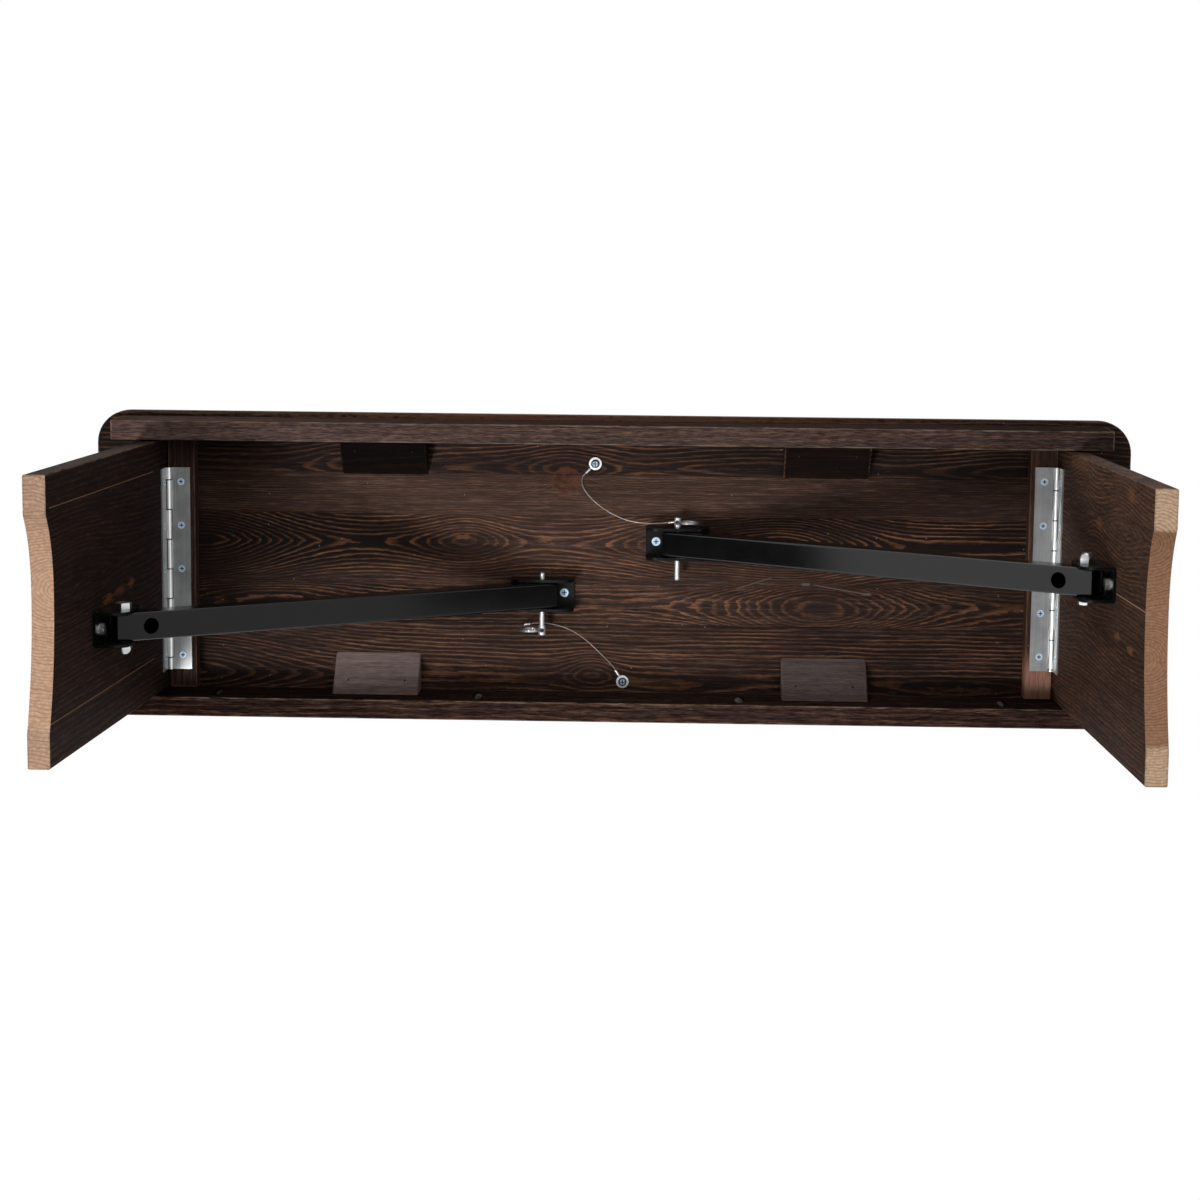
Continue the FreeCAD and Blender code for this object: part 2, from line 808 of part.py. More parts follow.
for number, board in enumerate(sliced(seat.cut(seat_holes), seat_seams), 1):
    save("seat_board_%d" % number, board)
for name, side in (("front_apron", -1), ("rear_apron", 1)):
    save(name, apron(side).cut(pocket_holes + brad_holes))
pocket_screws = [aimed(pocket_screw(), point, direction) for point, direction in pocket_places()]
save("apron_pocket_screws", *pocket_screws)
for place in block_centres:
    save("glue_block_" + place, glue_block(place).cut(brad_holes))
save("block_brads", *brads)

leaf = hinge_leaf()
leaf_screw = countersunk_screw(hinge_screw_head, hinge_screw_shank, hinge_screw_length)
leaf_hole = countersunk_hole(hinge_screw_head, hinge_screw_shank, hinge_screw_length)
leaf_screws = [aimed(leaf_screw, point, axis_z) for point in hinge_screw_points()]
leaf_holes = [aimed(leaf_hole, point, axis_z) for point in hinge_screw_points()]
pin_ends = [vector(0, side * hinge_length / 2, 0) for side in (-1, 1)]
hinge_pin = rod(pin_ends[0], pin_ends[1], hinge_pin_diameter)
pin_bore = pin_diameter + 2 * running_clearance
seat_bracket = under_seat(u_bracket(pin_bore)).cut(bracket_holes)
seat_screw = countersunk_screw(bracket_screw_head, bracket_screw_shank, bracket_screw_length)
seat_screws = [under_seat(screw) for screw in bracket_fixings(seat_screw, bracket_plate)]

lag_bore = lag_shank_diameter / 2 + screw_clearance
lag_hole = Part.makeCylinder(lag_bore, 2 * bracket_plate)
leg_bracket = u_bracket(pivot_diameter + 2 * running_clearance)
leg_bracket = leg_bracket.cut(bracket_fixings(lag_hole, bracket_plate))
lag_seat = bracket_plate + lag_washer_thickness
lag_bolt = hex_bolt(lag_flats, lag_head_height, lag_shank_diameter, lag_seat + lag_bite)
lag_washer = Part.makeCylinder(lag_washer_diameter / 2, lag_washer_thickness)
lag_washer = lag_washer.cut(Part.makeCylinder(lag_bore, lag_washer_thickness))
tube = brace_tube()

for end in ends:
    save(end + "_cleat", at_end(cleat().cut([on_cleat(hole) for hole in leaf_holes]), end))
    save(end + "_hinge_fixed_leaf", at_end(on_cleat(leaf), end))
    save(end + "_hinge_fixed_screws", *[at_end(on_cleat(screw), end) for screw in leaf_screws])
    save(end + "_hinge_pin", at_end(on_cleat(hinge_pin), end))
    save(end + "_hinge_moving_leaf", at_end(on_leg(leaf), end))
    save(end + "_hinge_moving_screws", *[at_end(on_leg(screw), end) for screw in leaf_screws])
    for number, board in enumerate(sliced(leg_panel(end), leg_seams[end]), 1):
        save("%s_leg_board_%d" % (end, number), board)
    save(end + "_leg_bracket", at_end(inside_leg(leg_bracket), end))
    lag_bolts = [inside_leg(bolt) for bolt in bracket_fixings(lag_bolt, lag_seat)]
    save(end + "_leg_bracket_bolts", *[at_end(bolt, end) for bolt in lag_bolts])
    lag_washers = [inside_leg(washer) for washer in bracket_fixings(lag_washer, lag_seat)]
    save(end + "_leg_bracket_washers", *[at_end(washer, end) for washer in lag_washers])
    save(end + "_pivot_bolt", at_end(inside_leg(pivot_bolt()), end))
    save(end + "_pivot_nut", at_end(inside_leg(pivot_nut()), end))
    save(end + "_brace_tube", at_end(tube, end))
    save(end + "_seat_bracket", at_end(seat_bracket, end))
    save(end + "_lock_pin", at_end(lock_pin(end), end))
    save(end + "_pull_ring", at_end(pull_ring(end), end))
    save(end + "_lanyard_wire", lanyard(end))
    save(end + "_lanyard_ferrule", *lanyard_ferrule(end))

save("seat_bracket_screws", *[at_end(screw, end) for screw in seat_screws for end in ends])
save("left_lanyard_end_ferrule", end_ferrule("left"))
save("lanyard_screws", *[aimed(lanyard_screw(), lanyard_screw_place(end), axis_z) for end in ends])
save("lanyard_washers", *[lanyard_washer(end) for end in ends])

print("hinge axis", round(hinge_x, 3), round(hinge_z, 3))
print("brace pivot", round(pivot_point.x, 3), round(pivot_point.z, 3))
print("brace length", round(brace_length, 2), "slope", round(math.degrees(brace_slope), 3))
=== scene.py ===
import bmesh
import bpy
import math
from mathutils import Euler, Matrix, Vector


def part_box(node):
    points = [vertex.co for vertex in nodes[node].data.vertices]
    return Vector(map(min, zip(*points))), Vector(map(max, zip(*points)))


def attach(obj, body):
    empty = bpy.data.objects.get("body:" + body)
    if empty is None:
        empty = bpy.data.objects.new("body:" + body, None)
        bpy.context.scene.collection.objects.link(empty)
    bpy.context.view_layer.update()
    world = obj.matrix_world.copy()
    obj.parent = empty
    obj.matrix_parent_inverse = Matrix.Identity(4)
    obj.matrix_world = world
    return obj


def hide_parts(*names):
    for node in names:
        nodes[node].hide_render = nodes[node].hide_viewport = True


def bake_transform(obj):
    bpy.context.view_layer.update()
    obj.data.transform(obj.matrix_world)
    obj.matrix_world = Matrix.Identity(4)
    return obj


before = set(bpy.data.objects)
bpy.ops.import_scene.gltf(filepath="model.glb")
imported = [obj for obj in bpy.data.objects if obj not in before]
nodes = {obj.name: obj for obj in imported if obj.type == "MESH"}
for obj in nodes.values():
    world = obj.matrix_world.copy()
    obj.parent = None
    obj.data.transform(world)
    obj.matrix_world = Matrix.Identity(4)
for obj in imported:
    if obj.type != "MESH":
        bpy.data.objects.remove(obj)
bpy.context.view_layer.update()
scene = bpy.context.scene


# camera: below the bench, looking up at the underside of the seat
photoCamera = {
    "place": (0.06926, -0.31768, -2.15381),
    "turnDegrees": (172.3085, -1.8199, -0.546),
    "focalPixels": 2644.4,
    "imagePixels": 1200,
    "sensor": 36.0,
}


def setCamera(view):
    lens = bpy.data.cameras.new("photo_camera")
    lens.sensor_width = view["sensor"]
    lens.lens = view["focalPixels"] * view["sensor"] / view["imagePixels"]
    lens.clip_end = 50
    camera = bpy.data.objects.new("photo_camera", lens)
    camera.location = view["place"]
    camera.rotation_euler = [math.radians(turn) for turn in view["turnDegrees"]]
    scene.collection.objects.link(camera)
    scene.camera = camera


setCamera(photoCamera)
scene.view_settings.view_transform = "Standard"
print("camera set")


# small helpers for meshes
def meshPiece(name, bm, smooth=True):
    mesh = bpy.data.meshes.new(name)
    bm.to_mesh(mesh)
    bm.free()
    for face in mesh.polygons:
        face.use_smooth = smooth
    piece = bpy.data.objects.new(name, mesh)
    scene.collection.objects.link(piece)
    return piece


def routeLine(name, points):
    # a smooth line with the route's points as its control points
    curve = bpy.data.curves.new(name, "CURVE")
    curve.dimensions = "3D"
    curve.resolution_u = 8
    spline = curve.splines.new("NURBS")
    spline.points.add(len(points) - 1)
    for point, control in zip(points, spline.points):
        control.co = (*point, 1)
    spline.order_u = 3
    spline.use_endpoint_u = True
    holder = bpy.data.objects.new(name, curve)
    line = bpy.data.meshes.new_from_object(holder)
    path = [vertex.co.copy() for vertex in line.vertices]
    bpy.data.objects.remove(holder)
    bpy.data.curves.remove(curve)
    bpy.data.meshes.remove(line)
    return path


def lineFrames(path):
    # a turn for each point of the line: z runs along it and x stays level
    frames = []
    for number, point in enumerate(path):
        before = path[max(number - 1, 0)]
        after = path[min(number + 1, len(path) - 1)]
        ahead = (after - before).normalized()
        level = ahead.cross(Vector((0, 0, 1))).normalized()
        turn = Matrix((level, ahead.cross(level), ahead)).transposed()
        frames.append((point, turn))
    return frames


def sweptTube(bm, rings, sides):
    # circles bridged one to the next, closed at both ends; a ring is (point, turn, radius)
    loops = []
    for point, turn, radius in rings:
        place = Matrix.Translation(point) @ turn.to_4x4()
        made = bmesh.ops.create_circle(bm, segments=sides, radius=radius, matrix=place)
        loop = made["verts"]
        if loops:
            bmesh.ops.bridge_loops(bm, edges=loopEdges(loops[-1]) + loopEdges(loop))
        loops.append(loop)
    for loop in (loops[0], loops[-1]):
        bmesh.ops.contextual_create(bm, geom=loopEdges(loop))


def loopEdges(loop):
    corners = set(loop)
    found = {edge for corner in loop for edge in corner.link_edges}
    return [edge for edge in found if all(corner in corners for corner in edge.verts)]


# lanyards: steel wire rope from the seat to each lock pin
lanyards = {
    "left": {
        "route": [
            (0.006252, 0.103121, 0.43565), (0.003602, 0.098881, 0.43565), (-0.0024, 0.0926, 0.4348),
            (-0.0090, 0.0859, 0.4336), (-0.0160, 0.0790, 0.4322), (-0.0234, 0.0722, 0.4306),
            (-0.0318, 0.0658, 0.4286), (-0.0414, 0.0606, 0.4264), (-0.0514, 0.0569, 0.4243),
            (-0.0614, 0.0550, 0.4226), (-0.0705, 0.0547, 0.4213), (-0.0780, 0.0555, 0.4205),
        ],
        "length": 0.103,
    },
    "right": {
        "route": [
            (-0.024905, -0.092595, 0.43565), (-0.028440, -0.089060, 0.43565), (-0.0286, -0.0815, 0.4346),
            (-0.0250, -0.0746, 0.4332), (-0.0186, -0.0676, 0.4312), (-0.0100, -0.0604, 0.4288),
            (0.0006, -0.0540, 0.4262), (0.0126, -0.0490, 0.4236), (0.0256, -0.0460, 0.4212),
            (0.0386, -0.0451, 0.4193), (0.0506, -0.0457, 0.4180), (0.0600, -0.0469, 0.4173),
        ],
        "length": 0.115,
    },
}
wireRope = {"diameter": 0.001, "strands": 6, "layLength": 0.007, "strandSides": 5, "coreSides": 8}


def lanyardWire(end, lanyard, rope):
    name = end + "_lanyard_rope"
    path = routeLine(name, lanyard["route"])
    frames = lineFrames(path)
    strandRadius = rope["diameter"] / 6  # strand, core and strand lie side by side across the rope
    helixRadius = rope["diameter"] / 2 - strandRadius
    bm = bmesh.new()
    sweptTube(bm, [(point, turn, helixRadius) for point, turn in frames], rope["coreSides"])
    for strand in range(rope["strands"]):
        start = 2 * math.pi * strand / rope["strands"]
        travelled = 0
        helix = []
        for number, (point, turn) in enumerate(frames):
            if number:
                travelled += (point - path[number - 1]).length
            angle = start + 2 * math.pi * travelled / rope["layLength"]
            aside = Vector((math.cos(angle), math.sin(angle), 0)) * helixRadius
            helix.append((point + turn @ aside, turn, strandRadius))
        sweptTube(bm, helix, rope["strandSides"])
    bmesh.ops.recalc_face_normals(bm, faces=bm.faces)
    wire = meshPiece(name, bm)
    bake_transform(wire)
    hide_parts(end + "_lanyard_wire")


# crimped sleeves that close the wires at the pins
sleeves = {
    "left": {
        "from": (-0.0774, 0.05545, 0.42055), "to": (-0.0840, 0.05615, 0.41985),
        "replaces": "left_lanyard_end_ferrule",
    },
    "right": {"from": (0.0570, -0.0466, 0.4174), "to": (0.0632, -0.0473, 0.4172)},
}
crimp = {
    "radius": 0.0013,
    "sides": 20,
    "profile": [  # share of the way, share of the radius
        (0.00, 0.55), (0.06, 0.90), (0.14, 1.00), (0.26, 1.00), (0.32, 0.76), (0.40, 0.76), (0.46, 1.00),
        (0.56, 1.00), (0.62, 0.76), (0.70, 0.76), (0.76, 1.00), (0.86, 1.00), (0.94, 0.90), (1.00, 0.55),
    ],
}


def crimpedSleeve(end, sleeve, crimp):
    start = Vector(sleeve["from"])
    run = Vector(sleeve["to"]) - start
    turn = run.to_track_quat("Z", "Y").to_matrix()
    rings = [(start + run * way, turn, share * crimp["radius"]) for way, share in crimp["profile"]]
    bm = bmesh.new()
    sweptTube(bm, rings, crimp["sides"])
    bmesh.ops.recalc_face_normals(bm, faces=bm.faces)
    piece = meshPiece(end + "_wire_sleeve", bm)
    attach(piece, end + "_lock_pin")
    if "replaces" in sleeve:
        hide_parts(sleeve["replaces"])


for end, lanyard in lanyards.items():
    lanyardWire(end, lanyard, wireRope)
for end, sleeve in sleeves.items():
    crimpedSleeve(end, sleeve, crimp)
print("lanyards made")


# pull rings: split rings of two flat turns
splitRing = {"turns": 1.94, "turnHeight": 0.0012, "wireWidth": 0.0024, "stepsPerTurn": 40, "sides": 12}


def pullRing(end, ring):
    low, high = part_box(end + "_pull_ring")
    centre = (low + high) / 2
    meanRadius = (high.x - low.x - ring["wireWidth"]) / 2
    steps = round(ring["turns"] * ring["stepsPerTurn"])
    rise = ring["turnHeight"] / ring["stepsPerTurn"]
    bm = bmesh.new()
    flatten = Matrix.Diagonal((ring["wireWidth"] / 2, ring["turnHeight"] / 2, 1, 1))
    made = bmesh.ops.create_circle(bm, segments=ring["sides"], radius=1, cap_ends=True, matrix=flatten)
    bmesh.ops.translate(bm, verts=made["verts"], vec=(meanRadius, -rise * steps / 2, 0))
    bmesh.ops.spin(
        bm, geom=bm.verts[:] + bm.edges[:] + bm.faces[:], cent=(0, 0, 0), axis=(0, 1, 0), dvec=(0, rise, 0),
        angle=2 * math.pi * ring["turns"], steps=steps, use_merge=False, use_duplicate=False,
    )
    bmesh.ops.remove_doubles(bm, verts=bm.verts, dist=1e-7)
    bmesh.ops.recalc_face_normals(bm, faces=bm.faces)
    bmesh.ops.translate(bm, verts=bm.verts, vec=centre)
    piece = meshPiece(end + "_split_ring", bm)
    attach(piece, end + "_pull_ring")
    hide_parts(end + "_pull_ring")


for end in lanyards:
    pullRing(end, splitRing)
print("pull rings made")


# small helpers for shader nodes: a value is a number, a colour or another node's output
def plug(tree, value, socket):
    if isinstance(value, bpy.types.NodeSocket):
        tree.links.new(value, socket)
    else:
        socket.default_value = value


def calc(tree, operation, *values):
    node = tree.nodes.new("ShaderNodeMath")
    node.operation = operation
    for value, socket in zip(values, node.inputs):
        plug(tree, value, socket)
    return node.outputs[0]


def total(tree, values):
    result = values[0]
    for value in values[1:]:
        result = calc(tree, "ADD", result, value)
    return result


def product(tree, *values):
    result = values[0]
    for value in values[1:]:
        result = calc(tree, "MULTIPLY", result, value)
    return result


def step(tree, value, low, high):
    # 0 below low, 1 above high, smooth between; low may be the larger
    node = tree.nodes.new("ShaderNodeMapRange")
    node.interpolation_type = "SMOOTHSTEP"
    plug(tree, value, node.inputs["Value"])
    if low < high:
        settings = (low, high, 0, 1)
    else:
        settings = (high, low, 1, 0)
    for number, setting in enumerate(settings):
        node.inputs[1 + number].default_value = setting
    return node.outputs[0]


def colourMix(tree, factor, first, second, mode="MIX"):
    node = tree.nodes.new("ShaderNodeMix")
    node.data_type = "RGBA"
    node.blend_type = mode
    plug(tree, factor, node.inputs[0])
    plug(tree, (*first, 1) if isinstance(first, tuple) else first, node.inputs[6])
    plug(tree, (*second, 1) if isinstance(second, tuple) else second, node.inputs[7])
    return node.outputs[2]


def objectPlace(tree, turnDegrees=(0, 0, 0)):
    # object coordinates in millimetres, turned so that x runs along the grain and z through the board
    coordinates = tree.nodes.new("ShaderNodeTexCoord")
    mapping = tree.nodes.new("ShaderNodeMapping")
    mapping.inputs["Scale"].default_value = (1000, 1000, 1000)
    mapping.inputs["Rotation"].default_value = [math.radians(turn) for turn in turnDegrees]
    tree.links.new(coordinates.outputs["Object"], mapping.inputs["Vector"])
    return mapping.outputs["Vector"]


def parted(tree, place):
    node = tree.nodes.new("ShaderNodeSeparateXYZ")
    plug(tree, place, node.inputs[0])
    return node.outputs[0], node.outputs[1], node.outputs[2]


def noise(tree, place, sizes, seed, detail=2.0, roughness=0.5):
    # a cloud whose lumps have these sizes in millimetres
    scaled = tree.nodes.new("ShaderNodeVectorMath")
    scaled.operation = "MULTIPLY_ADD"
    plug(tree, place, scaled.inputs[0])
    scaled.inputs[1].default_value = [1 / size for size in sizes]
    scaled.inputs[2].default_value = (seed * 7.31, seed * 3.17, seed * 5.77)  # each seed has its own place
    cloud = tree.nodes.new("ShaderNodeTexNoise")
    cloud.inputs["Scale"].default_value = 1
    cloud.inputs["Detail"].default_value = detail
    cloud.inputs["Roughness"].default_value = roughness
    tree.links.new(scaled.outputs[0], cloud.inputs["Vector"])
    return cloud.outputs[0]


def newFinish(name):
    material = bpy.data.materials.new(name)
    material.use_nodes = True
    tree = material.node_tree
    return material, tree, tree.nodes["Principled BSDF"]


def bump(tree, shader, height, distance, strength):
    node = tree.nodes.new("ShaderNodeBump")
    node.inputs["Strength"].default_value = strength
    node.inputs["Distance"].default_value = distance
    plug(tree, height, node.inputs["Height"])
    tree.links.new(node.outputs[0], shader.inputs["Normal"])


def paint(material, *names):
    for name in names:
        piece = nodes[name] if name in nodes else bpy.data.objects[name]
        piece.data.materials.clear()
        piece.data.materials.append(material)


# wood: growth rings round a pith, which dip into pointed eyes along the board, with fibres and worn edges
grainSizes = {  # lumps of each pattern in mm: along the grain, across it and through the board
    "drift": (110, 17, 17), "jag": (15, 4, 4), "patches": (75, 15, 15), "fibres": (30, 1.5, 1.5),
    "streaks": (120, 3.6, 3.6), "clouds": (120, 40, 40), "grit": (11, 1.1, 1.1), "ripple": (9, 6, 6),
    "ragged": (9, 2.6, 2.6), "mottled": (3, 3, 3), "rubbed": (16, 2.5, 2.5),
}
lateWood = {"rise": (0.48, 0.82), "end": (1.0, 0.90), "weakest": 0.45}  # shares of a ring
scratchTaper = 4.0  # mm over which a scratch's ends fade
dustGrains = {"net": 24.0, "chosen": (0.88, 0.90), "grain": (0.034, 0.016), "colour": (0.42, 0.38, 0.35)}


def ovalSquares(tree, along, across, oval):
    # the squared distance from an oval's middle, 1 on its edge
    middle, line, halfLength, halfWidth = oval
    a = calc(tree, "MULTIPLY_ADD", along, 1 / halfLength, -middle / halfLength)
    c = calc(tree, "MULTIPLY_ADD", across, 1 / halfWidth, -line / halfWidth)
    return calc(tree, "MULTIPLY_ADD", a, a, calc(tree, "MULTIPLY", c, c))


def ovalDistance(tree, along, across, oval):
    return calc(tree, "SQRT", ovalSquares(tree, along, across, oval))


def eyeDip(tree, along, across, eye):
    # the ring field dips here, so that the grain lines close round it
    *oval, dip = eye
    squares = ovalSquares(tree, along, across, oval)
    return calc(tree, "MULTIPLY", calc(tree, "EXPONENT", calc(tree, "MULTIPLY", squares, -1)), -dip)


def ringField(tree, place, figure, drift):
    along, across, depth = parted(tree, place)
    pithAcross, pithDepth = figure["pith"]
    aside = calc(tree, "SUBTRACT", across, pithAcross)
    below = calc(tree, "SUBTRACT", depth, pithDepth)
    squares = calc(tree, "MULTIPLY_ADD", aside, aside, calc(tree, "MULTIPLY", below, below))
    parts = [calc(tree, "SQRT", squares), drift]
    for eye in figure["eyes"]:
        parts.append(eyeDip(tree, along, across, eye))
    return calc(tree, "MULTIPLY_ADD", total(tree, parts), 1 / figure["spacing"], figure["phase"])


def ringLines(tree, field):
    # late wood: a soft rise, a sharp end, and each ring a little stronger or weaker
    share = calc(tree, "FRACT", field)
    lines = calc(tree, "MULTIPLY", step(tree, share, *lateWood["rise"]), step(tree, share, *lateWood["end"]))
    number = tree.nodes.new("ShaderNodeTexWhiteNoise")
    number.noise_dimensions = "1D"
    plug(tree, calc(tree, "FLOOR", field), number.inputs["W"])
    weakest = lateWood["weakest"]
    strength = calc(tree, "MULTIPLY_ADD", number.outputs["Value"], 1 - weakest, weakest)
    return calc(tree, "MULTIPLY", lines, strength)


def figureLines(tree, place, wood):
    # all the figures of a board, each in its own band across the grain
    along, across = parted(tree, place)[:2]
    drift = noise(tree, place, grainSizes["drift"], wood["seed"], detail=4, roughness=0.45)
    jag = noise(tree, place, grainSizes["jag"], wood["seed"] + 3, detail=3, roughness=0.6)
    drift = calc(tree, "MULTIPLY_ADD", drift, wood["wander"], -wood["wander"] / 2)
    drift = calc(tree, "MULTIPLY_ADD", jag, wood["jag"], drift)
    found = None
    for figure in wood["figures"]:
        lines = ringLines(tree, ringField(tree, place, figure, drift))
        lines = calc(tree, "MULTIPLY", lines, figure.get("strength", 1))
        for low, high in figure.get("fades", []):
            lines = calc(tree, "MULTIPLY", lines, step(tree, across, low, high))
        for low, high in figure.get("ends", []):
            lines = calc(tree, "MULTIPLY", lines, step(tree, along, low, high))
        found = calc(tree, "MAXIMUM", found, lines) if found else lines
    return found, drift


def scratchLine(tree, along, across, scratch):
    # 1 on a thin line between two points of the board's face
    startAlong, startAcross, endAlong, endAcross, width = scratch
    run = Vector((endAlong - startAlong, endAcross - startAcross))
    a = calc(tree, "SUBTRACT", along, startAlong)
    c = calc(tree, "SUBTRACT", across, startAcross)
    ahead = run.normalized()
    travelled = calc(tree, "MULTIPLY_ADD", a, ahead.x, calc(tree, "MULTIPLY", c, ahead.y))
    aside = calc(tree, "MULTIPLY_ADD", c, ahead.x, calc(tree, "MULTIPLY", a, -ahead.y))
    begun = step(tree, travelled, 0, scratchTaper)
    ended = step(tree, travelled, run.length, run.length - scratchTaper)
    thin = step(tree, calc(tree, "ABSOLUTE", aside), width, width / 3)
    return calc(tree, "MULTIPLY", thin, calc(tree, "MULTIPLY", begun, ended))


def dustSpecks(tree, place):
    # a pale grain of dust in some of the cells of a net
    cells = tree.nodes.new("ShaderNodeTexVoronoi")
    cells.voronoi_dimensions = "2D"
    cells.inputs["Scale"].default_value = 1 / dustGrains["net"]
    plug(tree, place, cells.inputs["Vector"])
    chosen = step(tree, parted(tree, cells.outputs["Color"])[0], *dustGrains["chosen"])
    return calc(tree, "MULTIPLY", step(tree, cells.outputs["Distance"], *dustGrains["grain"]), chosen)


def turnedBox(names, turnDegrees):
    # the box of some nodes in the grain's own directions, in millimetres
    turn = Euler([math.radians(angle) for angle in turnDegrees]).to_matrix() * 1000
    corners = [turn @ vertex.co for name in names for vertex in nodes[name].data.vertices]
    low = [min(corner[axis] for corner in corners) for axis in range(3)]
    high = [max(corner[axis] for corner in corners) for axis in range(3)]
    return low, high


def edgeDistance(tree, place, low, high):
    # on a face of the box one distance is nil, so the middle one of the three is that to the nearest edge
    inside = []
    for value, floorSide, roofSide in zip(parted(tree, place), low, high):
        middle = (floorSide + roofSide) / 2
        away = calc(tree, "ABSOLUTE", calc(tree, "SUBTRACT", value, middle))
        inside.append(calc(tree, "SUBTRACT", (roofSide - floorSide) / 2, away))
    a, b, c = inside
    larger = calc(tree, "MINIMUM", calc(tree, "MAXIMUM", a, b), c)
    return calc(tree, "MAXIMUM", calc(tree, "MINIMUM", a, b), larger)


def knotMark(tree, place, knot, wood, colour):
    # a dark heart with a pale rim, both a little uneven
    along, across = parted(tree, place)[:2]
    ripple = noise(tree, place, grainSizes["ripple"], wood["seed"] + 31, detail=3)
    distance = calc(tree, "MULTIPLY_ADD", ripple, 0.6, ovalDistance(tree, along, across, knot))
    heart = step(tree, distance, 1.34, 1.06)
    knotColour = colourMix(tree, step(tree, ripple, 0.36, 0.62), wood["knotDark"], wood["knotLight"])
    rim = calc(tree, "MULTIPLY", step(tree, distance, 1.02, 1.16), step(tree, distance, 1.36, 1.22))
    colour = colourMix(tree, calc(tree, "MULTIPLY", heart, 0.75), colour, knotColour)
    return colourMix(tree, calc(tree, "MULTIPLY", rim, 0.55), colour, wood["knotLight"])


def rawEnd(tree, place, drift, wood, colour):
    # end grain where the saw cut through the stain, with the arch above the foot in another tone: painted
    # light on the left foot, darker and redder on the right
    raw = wood["raw"]
    normal = tree.nodes.new("ShaderNodeTexCoord").outputs["Normal"]
    facingDown = calc(tree, "MULTIPLY", parted(tree, normal)[2], -1)
    endField = calc(tree, "MULTIPLY", ringField(tree, place, wood["figures"][0], drift), raw["rings"])
    mottled = noise(tree, place, grainSizes["mottled"], wood["seed"] + 37, detail=4, roughness=0.6)
    soft = colourMix(tree, step(tree, mottled, 0.3, 0.7), raw["shade"], raw["light"])
    ringShare = calc(tree, "MULTIPLY", ringLines(tree, endField), 0.75)
    sawn = colourMix(tree, ringShare, soft, raw["ring"])
    arch = colourMix(tree, 1.0, sawn, raw["arch"], "MULTIPLY")
    foot = turnedBox(wood["panel"], wood["turn"])[0][0]
    aboveFoot = step(tree, parted(tree, place)[0], foot + 0.8, foot + 2.5)
    sawn = colourMix(tree, aboveFoot, sawn, arch)
    return colourMix(tree, step(tree, facingDown, 0.55, 0.70), colour, sawn)


